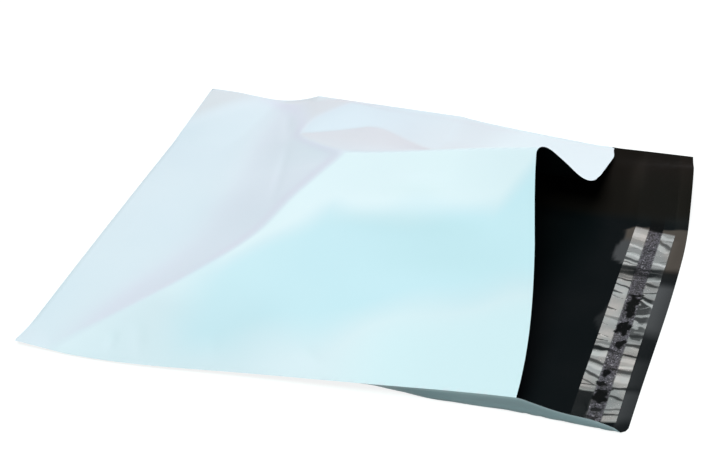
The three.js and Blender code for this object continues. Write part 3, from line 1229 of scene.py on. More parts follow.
@dataclass(frozen=True)
class SheenAndBrowning:
    """Where the black side shows a painted sheen or turns brown: painted sheen on the flap's margin, in
    patches by the liner and on the far wing, and brown on the far hump.
    """

    waver: float = 0.01
    waver_waves: Waves = (0.25, 31)
    # Painted sheen along the flap's margin, by the run.
    margin_edge: float = 0.02
    end_tone: float = 0.6
    margin_tones: tuple[Place, ...] = (
        (0.0, 0.04), (0.04, 0.27), (0.15, 0.29), (0.18, 0.05), (0.2, 0.13),
        (0.3, 0.14), (0.33, 0.04), (0.42, 0.05), (0.48, 0.38), (0.69, 0.46),
        (0.725, 0.05), (0.78, 0.05), (0.8, 0.4), (0.96, 0.44), (1.0, 0.03),
    )
    # Painted sheen in patches beside the liner.
    far_sheen: tuple[Place, ...] = (
        (0.8, 0.0), (0.815, 0.15), (0.83, 0.29), (0.86, 0.36), (0.9, 0.33),
        (0.94, 0.23), (0.96, 0.22), (1.0, 0.25), (1.03, 0.0),
    )
    far_tone: float = 0.34
    mid_sheen: tuple[Place, ...] = ((0.43, 0.0), (0.5, 0.26), (0.54, 0.12), (0.6, 0.02), (0.62, 0.0))
    mid_tone: float = 0.085
    sheen_edge: Fade = Fade(0.0, 0.09)
    sheen_tip: Fade = Fade(0.0, 0.06)
    # Painted sheen on the flap's far wing.
    wing_tone: float = 0.036
    wing_place: Place = (1.4, 0.87)
    wing_spread: Place = (0.08, 0.09)
    # Where the painted sheen turns brown.
    full_brown_sheen: float = 0.1
    sheen_browning: Fade = Fade(0.92, 0.97)
    margin_browning: Fade = Fade(0.72, 0.8)
    # Brown on the hump by the far weld.
    brown_start: float = 0.735
    brown_reach: float = 0.02
    brown_rows: Fade = Fade(0.5, 0.9)

    def browned(self, across: Array) -> Array:
        """Gives how brown the film looks on the long hump by the far weld."""
        return soft_step(across, self.brown_start, self.brown_reach)

    def read(self, back: BackPanel, strip: StripPlan, row: Array, across: Array) -> dict[str, Array]:
        """Works out the painted sheen and the browning.

        Args:
            back: The back panel.
            strip: Where the liner lies on it.
            row: The panel's rows, from 1 at the mouth to 2 at the flap's end.
            across: Shares of the way from the near weld to the far one.

        Returns:
            The painted sheen and the browning, each from 0 to 1.
        """
        run = strip.run(across)
        wavy = run + self.waver * ripples(run, row, *self.waver_waves)
        inner = back.row_before_end(strip.margin + strip.width, across)
        outer = back.row_before_end(strip.margin, across)
        on_margin = ease(row, outer - self.margin_edge, outer)
        # dull holds the painted sheen, first along the margin.
        dull = follow(wavy, self.margin_tones) * on_margin * mix(self.end_tone, 1.0, share(row, 2.0, outer))
        # Painted sheen in patches beside the liner.
        beside = (inner - row) / (outer - inner)
        for outline, tone in ((self.far_sheen, self.far_tone), (self.mid_sheen, self.mid_tone)):
            reach = follow(wavy, outline)
            patch_sheen = self.sheen_edge(reach - beside) * self.sheen_tip(reach) * (row > 1.0)
            dull = np.maximum(dull, tone * patch_sheen)
        # Painted sheen on the far wing.
        wing = bell(row, self.wing_place[0], self.wing_spread[0])
        wing = wing * bell(across, self.wing_place[1], self.wing_spread[1])
        dull = np.maximum(dull, self.wing_tone * wing)
        # dusty is how far the painted sheen turns brown.
        browning_reach = mix(self.sheen_browning(run), self.margin_browning(run), on_margin)
        dusty = share(dull, 0.0, self.full_brown_sheen) * browning_reach
        return {"painted_sheen": dull, "browning": np.maximum(dusty, self.browned(across) * self.brown_rows(row))}


@dataclass(frozen=True)
class WhitePaintedLight:
    """Where light and shade are painted on the white side, by its places in metres and its slopes: cyan
    light, pale light, warm light, lilac shade and plain shade.
    """

    waver: float = 0.004
    waver_waves: Waves = (0.05, 19)
    # Lines that bound the painted cyan light on the lit face.
    cool_top: tuple[Place, ...] = (
        (0.08, -0.052), (0.105, -0.026), (0.124, -0.009),
        (0.17, -0.01), (0.212, -0.008), (0.236, 0.028),
    )
    cool_foot: tuple[Place, ...] = ((0.08, -0.118), (0.12, -0.104), (0.17, -0.082), (0.23, -0.06))
    cool_start: Fade = Fade(0.055, 0.09)
    cool_share: float = 0.85
    cool_growth: Fade = Fade(0.09, 0.13)
    under_top: Fade = Fade(0.019, -0.006)
    over_foot: Fade = Fade(0.0, 0.035)
    under_foot: Fade = Fade(0.025, -0.005)
    foot_start: Fade = Fade(0.15, 0.19)
    foot_cool: float = 0.4
    # Where the face catches pale painted light, by its slope, by the crease and near the foot.
    uphill: Fade = Fade(-0.02, 0.05)
    off_flank: Fade = Fade(0.0, 0.001)
    face_top: Fade = Fade(0.06, 0.045)
    crease_pale: float = 0.62
    crease_side: Fade = Fade(0.022, 0.004)
    crease_end: Fade = Fade(0.16, 0.13)
    crease_foot: Fade = Fade(-0.105, -0.055)
    face_pale: float = 0.9
    cool_loss: float = 0.55
    mouth_loss: float = 0.3
    mouth_side: Fade = Fade(0.17, 0.215)
    foot_gain: float = 0.6
    # Pale painted light on the lee and on the far side.
    far_side: Fade = Fade(0.055, 0.07)
    downhill: Fade = Fade(0.05, 0.2)
    lee_side: Fade = Fade(0.0, 0.02)
    lee_start: Fade = Fade(0.13, 0.16)
    lee_share: float = 0.4
    lee_growth: Fade = Fade(0.16, 0.2)
    # Warm painted light and lilac painted shade where the film turns away from the front.
    tilt: Fade = Fade(0.05, 0.34)
    cross_tilt: float = 0.9
    shelter_side: Fade = Fade(0.02, 0.07)
    shelter_slope: Fade = Fade(0.05, 0.18)
    on_flank: Fade = Fade(0.002, 0.0)
    flank_share: float = 0.3
    flank_growth: Fade = Fade(0.0, 0.04)
    flank_foot: Fade = Fade(-0.09, -0.04)
    # Lilac painted shade on the flank and along the flank's crease.
    foot_lilac: float = 0.8
    flank_lilac: float = 0.6
    lilac_turn: Fade = Fade(-0.08, -0.02)
    edge_lilac: float = 0.35
    edge_place: float = -0.0012
    edge_spread: float = 0.0014
    edge_foot: Fade = Fade(-0.08, -0.03)
    # Where the warm painted light ends.
    warm_end: Fade = Fade(0.2, 0.16)
    # Painted shade on the face's lower left.
    dim: float = 0.125
    dim_start: Fade = Fade(0.02, 0.06)
    dim_end: Fade = Fade(0.14, 0.105)
    dim_side: Fade = Fade(-0.045, -0.085)
    # Painted shade on the back panel's wall.
    wall_side: Fade = Fade(0.08, 0.05)
    wall_start: Fade = Fade(0.45, 0.56)
    wall_share: float = 0.56
    wall_turn: Fade = Fade(0.76, 0.93)

    def wall(self, row: Array, across: Array) -> Array:
        """Gives the painted shade on the back panel's wall by the near weld, which leaves the weld itself
        light.
        """
        dim = (across > HAIR) * self.wall_side(across)
        return dim * self.wall_start(row) * mix(1.0, self.wall_share, self.wall_turn(row))

    def read(self, front: FrontPanel, points: Array) -> dict[str, Array]:
        """Works out the light and shade painted on the front panel.

        Args:
            front: The front panel.
            points: Its places, with x from the bottom fold.

        Returns:
            The painted cyan light, shade, pale light, lilac shade and warm light, each from 0 to 1.
        """
        x, level = points[:, 0], points[:, 1]
        y = level + self.waver * ripples(x, level, *self.waver_waves)
        along, across, over = front.lie(x, level)
        # Painted cyan light on the lit face, between its foot and top lines.
        from_foot = y - follow(x, self.cool_foot)
        under_top = self.under_top(y - follow(x, self.cool_top))
        lower = self.under_foot(from_foot) * self.foot_start(x)
        cyan_light = self.over_foot(from_foot) * under_top
        cyan_light = cyan_light * mix(self.cool_share * self.cool_start(x), 1.0, self.cool_growth(x))
        # Pale painted light on the face turned to the key lamp, along the crease and near the foot.
        facing = self.uphill(across) * self.off_flank(over) * self.face_top(y)
        by_crease = self.crease_pale * self.crease_side(over) * self.crease_end(x) * self.crease_foot(y)
        above = self.face_pale - self.cool_loss * under_top - self.mouth_loss * self.mouth_side(x)
        above = above + self.foot_gain * lower
        # Pale painted light on the lee and on the far side.
        lee = np.maximum(self.far_side(y), self.downhill(-across) * self.lee_side(y))
        lee = lee * self.lee_start(x) * mix(self.lee_share, 1.0, self.lee_growth(x))
        # Warm painted light and lilac painted shade where the film turns away from the front.
        tilt = self.tilt(np.maximum(along, 0.0) + self.cross_tilt * np.maximum(-across, 0.0))
        turned = tilt * (1.0 - facing)
        sheltered = self.shelter_side(y) * self.shelter_slope(-across)
        flank = turned * (1.0 - sheltered) * self.on_flank(over)
        flank_pale = flank * mix(self.flank_share, 1.0, self.flank_growth(y)) * self.flank_foot(y)
        # pale and flank_pale hold the painted light.
        pale = np.maximum(facing * np.maximum(by_crease, above), lee)
        lilac_shade = flank * mix(self.foot_lilac, self.flank_lilac, self.lilac_turn(y))
        lilac_shade = lilac_shade + self.edge_lilac * bell(over, self.edge_place, self.edge_spread) * self.edge_foot(y)
        # Painted shade on the face's lower left.
        dim = self.dim * self.dim_start(x) * self.dim_end(x) * self.dim_side(y)
        return {
            "painted_cyan_light": np.maximum(cyan_light, self.foot_cool * lower),
            "painted_shade": dim * self.off_flank(over),
            "painted_light": np.maximum(pale, flank_pale),
            "lilac_shade": np.minimum(lilac_shade, 1.0),
            "painted_warm_light": turned * self.warm_end(x) * sheltered,
        }


@dataclass
class BagFilm:
    """The folded film, welded down both sides, with its flap out."""

    front: FrontPanel = field(default_factory=FrontPanel)
    strip: StripPlan = field(default_factory=StripPlan)
    # Painted sheen and browning for the black side, painted light and shade for the white side.
    sheen_and_browning: SheenAndBrowning = field(default_factory=SheenAndBrowning)
    painted_lights: WhitePaintedLight = field(default_factory=WhitePaintedLight)
    rows: int = 156
    flap_rows: int = 34
    row_slack: float = 1e-3
    columns: int = 130
    turns: tuple[Place, ...] = ((0.635, 1.8), (0.705, 1.5))
    turn_spread: float = 0.03
    turn_steps: int = 2001
    fold_radius: float = 0.0004
    shut_reach: float = 0.004
    skin: float = 0.00015
    edge_angle: float = 50.0

    @property
    def back(self) -> BackPanel:
        """The panel that lies on the floor."""
        return self.front.back

    @property
    def origin(self) -> Array:
        """Where the bottom fold's middle lies in the CAD frame."""
        low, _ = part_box(Node.FILM.value)
        return np.array([low.x + self.fold_radius, 0.0, self.skin])

    def _rows(self, along: Array) -> Array:
        """Turns shares along the back grid into rows: the front's rows first, and then the flap's.

        Args:
            along: Shares of the grid's length, from the bottom fold.

        Returns:
            The rows, 0 at the bottom fold, 1 at the mouth and 2 at the flap's end.
        """
        step = along * (self.rows + self.flap_rows)
        on_flap = 1.0 + (step - self.rows) / self.flap_rows
        return np.where(step <= self.rows + self.row_slack, step / self.rows, on_flap)

    def _spread(self, across: Array) -> Array:
        """Packs the columns closer where the mouth edge turns sharply.

        Args:
            across: Even shares of the grid's width.

        Returns:
            Shares of the way from the near weld to the far one.
        """
        place = np.linspace(0.0, 1.0, self.turn_steps)
        packed = 1.0 + sum(gain * bell(place, centre, self.turn_spread) for centre, gain in self.turns)
        walked = np.cumsum(packed)
        return np.interp(across, (walked - walked[0]) / (walked[-1] - walked[0]), place)

    def _lay_back(self, along: Array, across: Array) -> Laid:
        """Lays the back panel.

        Args:
            along: Shares of the grid's length, from the bottom fold.
            across: Even shares of its width.

        Returns:
            The points in the CAD frame, with the panel's painted sheen, its browning and the painted shade
            on its wall.
        """
        row, across = self._rows(along), self._spread(across)
        marks = self.sheen_and_browning.read(self.back, self.strip, row, across)
        # Painted shade on the wall by the near weld.
        marks["painted_shade"] = self.painted_lights.wall(row, across)
        return self.back.points(row, across) + self.origin, marks

    def _lay_front(self, along: Array, across: Array) -> Laid:
        """Lays the front panel, with the light and shade painted on its white side."""
        points = self.front.points(along, self._spread(across))
        return points + self.origin, self.painted_lights.read(self.front, points)

    def build(self) -> bpy.types.Object:
        """Lays the two panels, welds them and gives the film its thickness.

        Returns:
            The film in its finishes.
        """
        film = grid_piece("mailing_bag_film", self.rows + self.flap_rows, self.columns, self._lay_back)
        front = grid_piece("front_panel", self.rows, self.columns, self._lay_front)
        turn_over(film)
        weld_panels(film, front)
        film.data.materials.append(WhiteFilm().material())
        film.data.materials.append(BlackFilm().material())
        thicken(film, self.skin, inner_slot=1)
        self._whiten_corners(film)
        smooth(film, self.edge_angle)
        return film

    def _whiten_corners(self, film: bpy.types.Object) -> None:
        """Gives the inner skin the outer finish at the fold's two corners, where the film is shut flat.

        Args:
            film: The film with its thickness.
        """
        corners = self.back.points(np.zeros(2), np.array([0.0, 1.0])) + self.origin
        for face in film.data.polygons:
            if np.min(np.linalg.norm(corners - np.array(face.center), axis=1)) < self.shut_reach:
                face.material_index = 0

    def dress(self, film: bpy.types.Object) -> None:
        """Attaches the film to the bag's body and hides the CAD film that it stands for.

        Args:
            film: The built film.
        """
        welds = self.back.welds
        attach(film, BODY)
        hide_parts(Node.FILM.value)


@dataclass(frozen=True)
class Stroke:
    """A crease or a glint of the liner, by shares along and across it, with half widths in millimetres."""

    start: Place
    end: Place
    wide: Place
    haze_and_glint: float

    def away(self, x: Array, y: Array, size: Place) -> Array:
        """Gives the distance from the stroke in its half widths, for places in metres.

        Args:
            x: Places along the run.
            y: Places across the liner.
            size: The run's length and the liner's width.

        Returns:
            The distances, 1 on the stroke's edge.
        """
        start, end = ((along * size[0], over * size[1]) for along, over in (self.start, self.end))
        distance, part = segment_distance(x, y, start, end)
        return distance / (MILLIMETRE * mix(*self.wide, part))


@dataclass(frozen=True)
class Patch:
    """A soft-edged oval of the liner, clearer or hazier than the rest, by shares along and across it."""

    centre: Place
    reach: Place
    haze_and_glint: float

    def away(self, along: Array, over: Array) -> Array:
        """Gives the squared distance from the centre, 1 on the oval."""
        steps = ((along - self.centre[0]) / self.reach[0], (over - self.centre[1]) / self.reach[1])
        return steps[0] ** 2 + steps[1] ** 2


@dataclass(frozen=True)
class Crumple:
    """How the liner is crumpled: two loose silvery bands beside a stuck one, crossed by folds; its haze is
    the film's milkiness with painted reflections and glints.
    """

    plan: StripPlan = field(default_factory=StripPlan)
    run: float = 0.1395
    near_end: float = 0.034
    near_skew: float = 0.012
    near_soft: float = 0.005
    top_end: float = 1.018
    top_skew: float = 0.026
    top_soft: float = 0.006
    inner_end: float = 0.16
    inner_tip: Fade = Fade(0.004, -0.005)
    inner_side: Fade = Fade(0.01, -0.02)
    inner_clear: float = 0.98
    # Haze levels of the bands: milkiness with painted reflections.
    inner_haze: float = 0.68
    outer_haze: float = 0.6
    band_turn: Fade = Fade(0.3, 0.7)
    band_swell: float = 0.16
    stuck_haze: float = 0.055
    stuck_swell: float = 0.25
    stuck_soft: float = 0.015
    stuck_ceiling: float = 0.09
    smooth_haze: float = 0.004
    most_haze: float = 0.97
    level_haze: float = 0.5
    pillow: float = 0.00018
    depth: float = 0.0004
    waver: float = 0.00035
    run_waves: Waves = (0.006, 41)
    cross_waves: Waves = (0.007, 43)
    swell_waves: Waves = (0.011, 7)
    swell_stretch: float = 0.35
    ragged_waves: Waves = (0.0035, 47)
    patch_swell: float = 0.3
    patch_ragged: float = 0.5
    patch_edge: Fade = Fade(1.05, 0.8)
    stroke_edge: Fade = Fade(1.3, 0.6)
    stroke_spread: float = 1.5
    loose_strokes: int = 16
    loose_seed: int = 5
    loose_run: Place = (0.18, 1.0)
    loose_sides: tuple[tuple[float, Place], ...] = ((-0.05, (0.12, 0.3)), (1.05, (0.72, 0.9)))
    loose_slant: Place = (-0.02, 0.01)
    loose_wide: Place = (0.35, 0.15)
    loose_haze: Place = (0.15, 0.4)
    patches: tuple[Patch, ...] = (
        Patch((0.585, 0.57), (0.064, 0.17), 0.006),
        Patch((0.475, 0.51), (0.036, 0.18), 0.004),
        Patch((0.425, 0.43), (0.017, 0.1), 0.1),
        Patch((0.395, 0.57), (0.02, 0.12), 0.008),
        Patch((0.25, 0.46), (0.018, 0.08), 0.004),
        Patch((0.2, 0.44), (0.014, 0.11), 0.008),
        Patch((0.14, 0.49), (0.028, 0.16), 0.004),
        Patch((0.077, 0.53), (0.012, 0.13), 0.015),
        Patch((0.05, 0.47), (0.02, 0.12), 0.022),
        Patch((0.582, 0.88), (0.042, 0.25), 0.07),
        Patch((0.515, 0.9), (0.02, 0.25), 0.065),
        Patch((0.45, 0.88), (0.035, 0.24), 0.13),
    )
    strokes: tuple[Stroke, ...] = (
        Stroke((0.976, -0.1), (0.966, 0.34), (1.5, 1.5), 0.92),
        Stroke((0.942, -0.1), (0.927, 0.34), (2.0, 1.8), 0.45),
        Stroke((0.919, -0.1), (0.901, 0.34), (0.8, 0.8), 0.96),
        Stroke((0.893, -0.1), (0.875, 0.34), (1.8, 1.8), 0.46),
        Stroke((0.869, -0.1), (0.847, 0.34), (0.9, 0.8), 0.96),
        Stroke((0.841, -0.1), (0.822, 0.38), (1.2, 0.8), 0.06),
        Stroke((0.827, 0.0), (0.811, 0.3), (0.5, 0.4), 0.8),
        Stroke((0.819, -0.1), (0.803, 0.38), (0.4, 0.4), 0.08),
        Stroke((0.81, -0.1), (0.801, 0.32), (0.8, 0.5), 0.9),
        Stroke((0.976, 0.68), (0.957, 1.1), (1.5, 1.5), 0.9),
        Stroke((0.957, 0.66), (0.93, 0.82), (0.7, 1.2), 0.09),
        Stroke((0.93, 0.82), (0.905, 1.05), (1.2, 1.2), 0.09),
        Stroke((0.916, 0.7), (0.892, 0.92), (1.8, 1.0), 0.85),
        Stroke((0.856, 0.68), (0.85, 1.1), (2.0, 2.0), 0.46),
        Stroke((0.827, 0.66), (0.812, 1.1), (0.9, 0.9), 0.96),
        Stroke((0.772, -0.1), (0.766, 1.1), (4.0, 3.8), 0.04),
        Stroke((0.776, 0.3), (0.764, 0.72), (3.0, 3.0), 0.02),
        Stroke((0.77, 0.0), (0.768, 0.3), (0.8, 0.6), 0.075),
        Stroke((0.777, 0.45), (0.765, 1.0), (0.4, 0.3), 0.1),
        Stroke((0.737, -0.1), (0.73, 0.38), (1.0, 1.0), 0.3),
        Stroke((0.725, -0.1), (0.708, 0.7), (0.45, 0.5), 0.04),
        Stroke((0.708, 0.7), (0.69, 1.1), (0.9, 1.1), 0.08),
        Stroke((0.701, -0.1), (0.674, 0.4), (0.5, 0.5), 0.05),
        Stroke((0.722, 0.7), (0.736, 1.05), (0.6, 0.7), 0.75),
        Stroke((0.656, 0.66), (0.665, 1.1), (0.45, 0.45), 0.05),
        Stroke((0.645, 0.42), (0.645, 0.72), (0.7, 0.7), 0.004),
        Stroke((0.637, 0.68), (0.606, 1.1), (1.0, 0.9), 0.04),
        Stroke((0.623, 0.7), (0.586, 1.05), (0.2, 1.3), 0.88),
        Stroke((0.657, -0.05), (0.645, 0.22), (1.2, 0.3), 0.1),
        Stroke((0.57, -0.05), (0.557, 0.18), (1.0, 0.3), 0.1),
        Stroke((0.527, -0.1), (0.512, 0.34), (0.9, 0.9), 0.4),
        Stroke((0.537, 0.62), (0.545, 1.05), (0.3, 1.1), 0.6),
        Stroke((0.503, 0.73), (0.485, 1.05), (0.35, 0.4), 0.6),
        Stroke((0.456, 0.8), (0.446, 1.05), (0.6, 0.9), 0.34),
        Stroke((0.435, 0.68), (0.431, 1.1), (0.8, 0.9), 0.05),
        Stroke((0.419, 0.66), (0.395, 1.1), (0.8, 1.0), 0.48),
        Stroke((0.39, 0.68), (0.377, 1.1), (1.2, 1.3), 0.08),
        Stroke((0.43, -0.05), (0.421, 0.22), (0.5, 0.3), 0.08),
        Stroke((0.426, 0.06), (0.419, 0.2), (0.4, 0.3), 0.96),
        Stroke((0.406, -0.05), (0.4, 0.24), (0.45, 0.3), 0.08),
        Stroke((0.388, -0.1), (0.388, 0.34), (1.0, 1.0), 0.36),
        Stroke((0.363, -0.1), (0.357, 0.5), (2.4, 0.5), 0.02),
        Stroke((0.353, 0.33), (0.343, 0.66), (0.35, 0.3), 0.02),
        Stroke((0.333, 0.0), (0.334, 0.34), (1.4, 1.8), 0.95),
        Stroke((0.348, 0.5), (0.327, 1.1), (0.5, 0.8), 0.04),
        Stroke((0.311, -0.1), (0.286, 0.34), (0.9, 0.9), 0.1),
        Stroke((0.286, -0.1), (0.264, 0.32), (1.3, 1.2), 0.93),
        Stroke((0.251, -0.1), (0.222, 0.34), (1.1, 0.9), 0.1),
        Stroke((0.215, -0.05), (0.19, 0.26), (0.45, 0.35), 0.08),
        Stroke((0.187, -0.1), (0.187, 0.34), (0.4, 0.35), 0.12),
        Stroke((0.169, -0.1), (0.169, 0.34), (0.9, 0.9), 0.4),
        Stroke((0.316, 0.7), (0.3, 1.1), (1.5, 1.4), 0.88),
        Stroke((0.281, 0.68), (0.272, 1.1), (0.9, 0.8), 0.95),
        Stroke((0.262, 0.66), (0.249, 1.1), (1.2, 1.2), 0.11),
        Stroke((0.272, 0.5), (0.267, 0.7), (0.4, 0.4), 0.01),
        Stroke((0.226, 0.68), (0.211, 1.1), (2.5, 2.5), 0.92),
        Stroke((0.184, 0.5), (0.17, 1.1), (0.7, 0.9), 0.04),
        Stroke((0.168, 0.36), (0.171, 0.72), (0.7, 0.4), 0.005),
        Stroke((0.141, 0.72), (0.114, 1.1), (0.8, 0.8), 0.07),
        Stroke((0.08, 0.66), (0.077, 1.1), (0.7, 0.7), 0.2),
        Stroke((0.072, 0.26), (0.065, 0.7), (0.35, 0.3), 0.14),
        Stroke((0.057, 0.4), (0.055, 1.1), (0.6, 0.6), 0.06),
        Stroke((0.104, 0.2), (0.074, 0.34), (0.4, 0.4), 0.1),
    )

    def _loose(self) -> list[Stroke]:
        """Draws a seeded handful of fine creases in the two loose bands.

        Returns:
            The creases, as strokes.
        """
        chance = np.random.default_rng(self.loose_seed)
        found = []
        for _ in range(self.loose_strokes):
            along = chance.uniform(*self.loose_run)
            edge, reach = self.loose_sides[0 if chance.random() < 0.5 else 1]
            tip = chance.uniform(*reach)
            slant = chance.uniform(*self.loose_slant)
            haze_and_glint = chance.uniform(*self.loose_haze)
            found.append(Stroke((along, edge), (along + slant, tip), self.loose_wide, haze_and_glint))
        return found

    def _clear(self, run: Array, wavy_run: Array, over: Array) -> Array:
        """Finds where the liner lies smooth and clear: past both ends, and on the inner band's near end.

        Args:
            run: Shares of the run in view.
            wavy_run: The same shares, made to waver.
            over: Shares of the liner's width, from its inner edge.

        Returns:
            1 where it is clear, 0 where it is crumpled.
        """
        top = soft_step(run, self.top_end - self.top_skew * over, self.top_soft)
        near = 1.0 - soft_step(run, self.near_end - self.near_skew * over, self.near_soft)
        inner = self.inner_side(over - self.plan.stuck_start) * self.inner_tip(wavy_run - self.inner_end)
        return np.maximum(np.maximum(top, near), self.inner_clear * inner)

    def read(self, across: Array, over: Array) -> tuple[Array, Array]:
        """Works out the liner's small heights and its haze, which holds painted reflections and glints as
        well as milkiness.

        Args:
            across: Shares of the bag's width, from the near weld.
            over: Shares of the liner's width, from its inner edge.

        Returns:
            The height over the flat liner in metres, and how much the liner hides with its milkiness and
            painted reflections, from 0 to 1.
        """
        plan = self.plan
        run = plan.run(across)
        flat_x, flat_y = run * self.run, over * plan.width
        x = flat_x + self.waver * ripples(flat_x, flat_y, *self.run_waves)
        y = flat_y + self.waver * ripples(flat_x, flat_y, *self.cross_waves)
        swell = ripples(x, y * self.swell_stretch, *self.swell_waves)
        ragged = ripples(x, y, *self.ragged_waves)
        stuck = soft_step(over, plan.stuck_start, self.stuck_soft)
        stuck = stuck * (1.0 - soft_step(over, plan.stuck_end, self.stuck_soft))
        # The bands' haze, with its painted reflections, is lower where the liner is stuck.
        band = mix(self.inner_haze, self.outer_haze, self.band_turn(over)) + self.band_swell * swell
        haze_and_glint = mix(band, self.stuck_haze * (1.0 + self.stuck_swell * swell), stuck)
        height = (1.0 - stuck) * self.pillow * (1.0 + swell)
        for patch in self.patches:
            away = patch.away(x / self.run, y / plan.width)
            edge = self.patch_edge(away + self.patch_swell * swell + self.patch_ragged * ragged)
            haze_and_glint = mix(haze_and_glint, patch.haze_and_glint, edge)
        ceiling = mix(1.0, self.stuck_ceiling, stuck)
        # Strokes paint dark creases and bright painted glints into the haze.
        for stroke in (*self._loose(), *self.strokes):
            away = stroke.away(x, y, (self.run, plan.width))
            haze_and_glint = mix(haze_and_glint, np.minimum(stroke.haze_and_glint, ceiling), self.stroke_edge(away))
            fold = self.depth * (self.level_haze - stroke.haze_and_glint) * bell(away, 0.0, self.stroke_spread)
            height = height + (1.0 - stuck) * fold
        clear = self._clear(run, x / self.run, over)
        haze_and_glint = np.clip(mix(haze_and_glint, self.smooth_haze, clear), 0.0, self.most_haze)
        return np.maximum(height, 0.0) * (1.0 - clear), haze_and_glint


@dataclass(kw_only=True)
class FlapStrip(ABC):
    """A strip across the flap, held back a little from both welds, laid on the film's black side."""

    bag: BagFilm
    name: str
    finish: PressureAdhesive | ClearLiner
    lift: float
    thickness: float
    steps: int
    columns: int
    edge_angle: float
    near_inset: float = 0.0095
    far_inset: float = 0.0005
    crumple: Crumple = field(default_factory=Crumple)

    @property
    def band(self) -> Place:
        """The strip's two edges, in shares of the liner's width."""
        return 0.0, 1.0

    @abstractmethod
    def read(self, across: Array, over: Array) -> Laid:
        """Gives the strip's small heights and its marks, by shares of the bag's and the liner's width."""

    def lay(self, along: Array, part: Array) -> Laid:
        """Lays the strip's underside, off the film along its normal.

        Args:
            along: Shares of the strip's length, from its near end.
            part: Shares of its width, from its inner edge.

        Returns:
            The points in the CAD frame, with the strip's marks.
        """
        back, plan = self.bag.back, self.bag.strip
        over = mix(*self.band, part)
        across = mix(self.near_inset / back.welds.width, 1.0 - self.far_inset / back.welds.width, along)
        row = back.row_before_end(plan.margin + plan.width * (1.0 - over), across)
        rise, marks = self.read(across, over)
        off = (self.lift + rise)[:, None]
        return back.points(row, across) + back.normals(row, across) * off + self.bag.origin, marks

    def build(self) -> bpy.types.Object:
        """Lays the strip, and gives it its finish and thickness.

        Returns:
            The strip in its finish.
        """
        piece = grid_piece(self.name, self.steps, self.columns, self.lay)
        piece.data.materials.append(self.finish.material())
        thicken(piece, self.thickness)
        smooth(piece, self.edge_angle)
        return piece


@dataclass(kw_only=True)
class AdhesiveStripe(FlapStrip):
    """The stripe of pressure adhesive, wet and black where the liner's haze is low."""

    name: str = "adhesive_stripe"
    finish: PressureAdhesive = PressureAdhesive()
    lift: float = 0.00005
    thickness: float = 0.00015
    steps: int = 460
    columns: int = 12
    edge_angle: float = 40.0
    wettest: float = 0.01
    whitest: float = 0.055

    @property
    def band(self) -> Place:
        """The edges of the liner's stuck part."""
        return self.bag.strip.stuck_start, self.bag.strip.stuck_end

    def read(self, across: Array, over: Array) -> Laid:
        """Gives the flat stripe's heights, and how white and how brown it is.

        Args:
            across: Shares of the bag's width, from the near weld.
            over: Shares of the liner's width, from its inner edge.

        Returns:
            A height of 0 everywhere, and the marks.
        """
        _, haze_and_glint = self.crumple.read(across, over)
        whitening = share(haze_and_glint, self.wettest, self.whitest)
        return np.zeros_like(haze_and_glint), {"whitening": whitening, "browning": self.bag.sheen_and_browning.browned(across)}

    def dress(self, piece: bpy.types.Object) -> None:
        """Attaches the stripe to the bag's body and hides the CAD stripe that it stands for.

        Args:
            piece: The built stripe.
        """
        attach(piece, BODY)
        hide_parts(Node.ADHESIVE.value)


@dataclass(kw_only=True)
class ReleaseLiner(FlapStrip):
    """The clear liner over the stripe, crumpled along its two loose bands."""

    name: str = "release_liner_film"
    finish: ClearLiner = ClearLiner()
    lift: float = 0.00025
    thickness: float = 0.00005
    steps: int = 520
    columns: int = 40
    edge_angle: float = 30.0

    def read(self, across: Array, over: Array) -> Laid:
        """Gives the liner's small heights, and how hazy each of its two skins is, painted reflections and
        glints included.
        """
        rise, haze_and_glint = self.crumple.read(across, over)
        return rise, {"haze_and_glint": 1.0 - np.sqrt(1.0 - haze_and_glint)}

    def dress(self, piece: bpy.types.Object) -> None:
        """Attaches the liner to the bag's body and hides the CAD liner that it stands for.

        Args:
            piece: The built liner.
        """
        flat = (self.bag.strip.width, self.bag.back.welds.width)
        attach(piece, BODY)
        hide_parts(Node.LINER.value)


# The studio


@dataclass(frozen=True)
class Softbox:
    """A soft lamp that looks at a point of the bag."""

    name: str
    place: Triple
    size: Place
    power: float
    colour: Colour
    target: Triple = (0.0, 0.0, 0.0)
    mirrored: bool = True

    def build(self) -> None:
        """Adds the lamp."""
        deselect_all()
        bpy.ops.object.light_add(type="AREA", location=self.place)
        lamp = bpy.context.object
        lamp.name = lamp.data.name = self.name
        lamp.data.shape = "RECTANGLE"
        lamp.data.size, lamp.data.size_y = self.size
        lamp.data.energy = self.power
        lamp.data.color = self.colour
        aim = Vector(self.target) - Vector(self.place)
        lamp.rotation_euler = aim.to_track_quat("-Z", "Y").to_euler()
        lamp.visible_camera = False
        lamp.visible_glossy = self.mirrored


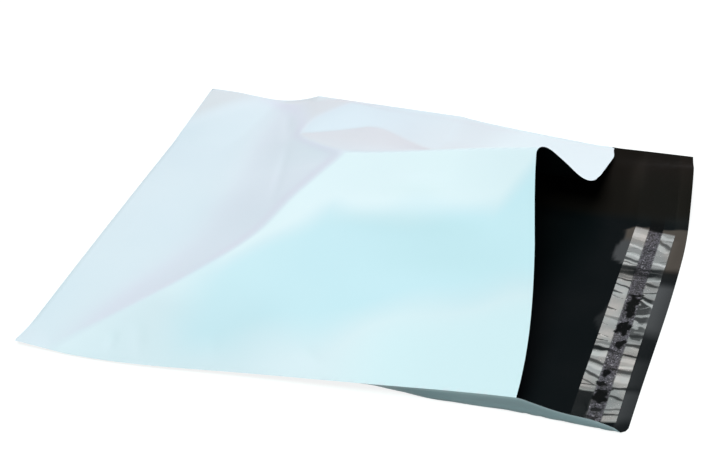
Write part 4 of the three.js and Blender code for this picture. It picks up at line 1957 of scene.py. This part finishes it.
@dataclass(frozen=True)
class Viewpoint:
    """The photograph's viewing angle."""

    azimuth: float = 23.9
    elevation: float = 38.7
    roll: float = -5.9
    lens: float = 75.4
    sensor: float = 36.0
    distance: float = 0.788
    nearest: float = 0.01
    target: Triple = (-0.0157, 0.0085, 0.0)

    def build(self) -> None:
        """Adds the camera and makes it the scene's own."""
        turn, rise, roll = (math.radians(angle) for angle in (self.azimuth, self.elevation, self.roll))
        back = Vector((math.sin(turn) * math.cos(rise), -math.cos(turn) * math.cos(rise), math.sin(rise)))
        right = Vector((0.0, 0.0, 1.0)).cross(back).normalized()
        above = back.cross(right)
        right, above = (
            math.cos(roll) * right + math.sin(roll) * above,
            math.cos(roll) * above - math.sin(roll) * right,
        )
        pose = Matrix((right, above, back)).transposed().to_4x4()
        pose.translation = back * self.distance + Vector(self.target)
        deselect_all()
        bpy.ops.object.camera_add()
        camera = bpy.context.object
        camera.name = camera.data.name = "viewpoint"
        camera.data.sensor_width = self.sensor
        camera.data.lens = self.lens
        camera.data.clip_start = self.nearest
        camera.matrix_world = pose
        bpy.context.scene.camera = camera


@dataclass(frozen=True)
class Studio:
    """The floor, the soft lamps and the room's own light."""

    floor_reach: float = 30.0
    floor_drop: float = 0.0003
    room_colour: Colour = (1.0, 0.98, 0.99)
    room_light: float = 0.075
    lamps: tuple[Softbox, ...] = (
        Softbox("key_box", (0.0, -0.524, 1.298), (0.7, 0.7), 15.5, (0.82, 1.0, 0.96)),
        Softbox("fill_box", (0.0, 0.99, 0.99), (0.7, 0.7), 11.4, (1.0, 0.8, 0.885), mirrored=False),
    )

    def build(self) -> None:
        """Sets the room."""
        deselect_all()
        bpy.ops.mesh.primitive_plane_add(size=self.floor_reach, location=(0.0, 0.0, 0.0))
        floor = bpy.context.object
        floor.name = floor.data.name = "floor"
        for corner in floor.data.vertices:
            corner.co.z = -self.floor_drop
        floor.data.materials.append(PaleFloor().material())
        world = bpy.data.worlds.new("room")
        world.use_nodes = True
        sheet = NodeSheet(world.node_tree)
        glow = {"Color": self.room_colour, "Strength": self.room_light}
        light = sheet.node("ShaderNodeBackground", None, glow)
        sheet.node("ShaderNodeOutputWorld", None, {"Surface": light})
        bpy.context.scene.world = world
        for lamp in self.lamps:
            lamp.build()
        bpy.context.scene.view_settings.view_transform = "Standard"


def main() -> None:
    """Builds the camera, the room and the bag."""
    logging.basicConfig(level=logging.INFO, format="%(name)s: %(message)s")
    Viewpoint().build()
    Studio().build()
    bag = BagFilm()
    for sub_assembly in (bag, AdhesiveStripe(bag=bag), ReleaseLiner(bag=bag)):
        piece = sub_assembly.build()
        sub_assembly.dress(piece)
        LOG.info("%s: %d faces", piece.name, len(piece.data.polygons))
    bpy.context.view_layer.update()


if __name__ == "__main__":
    main()
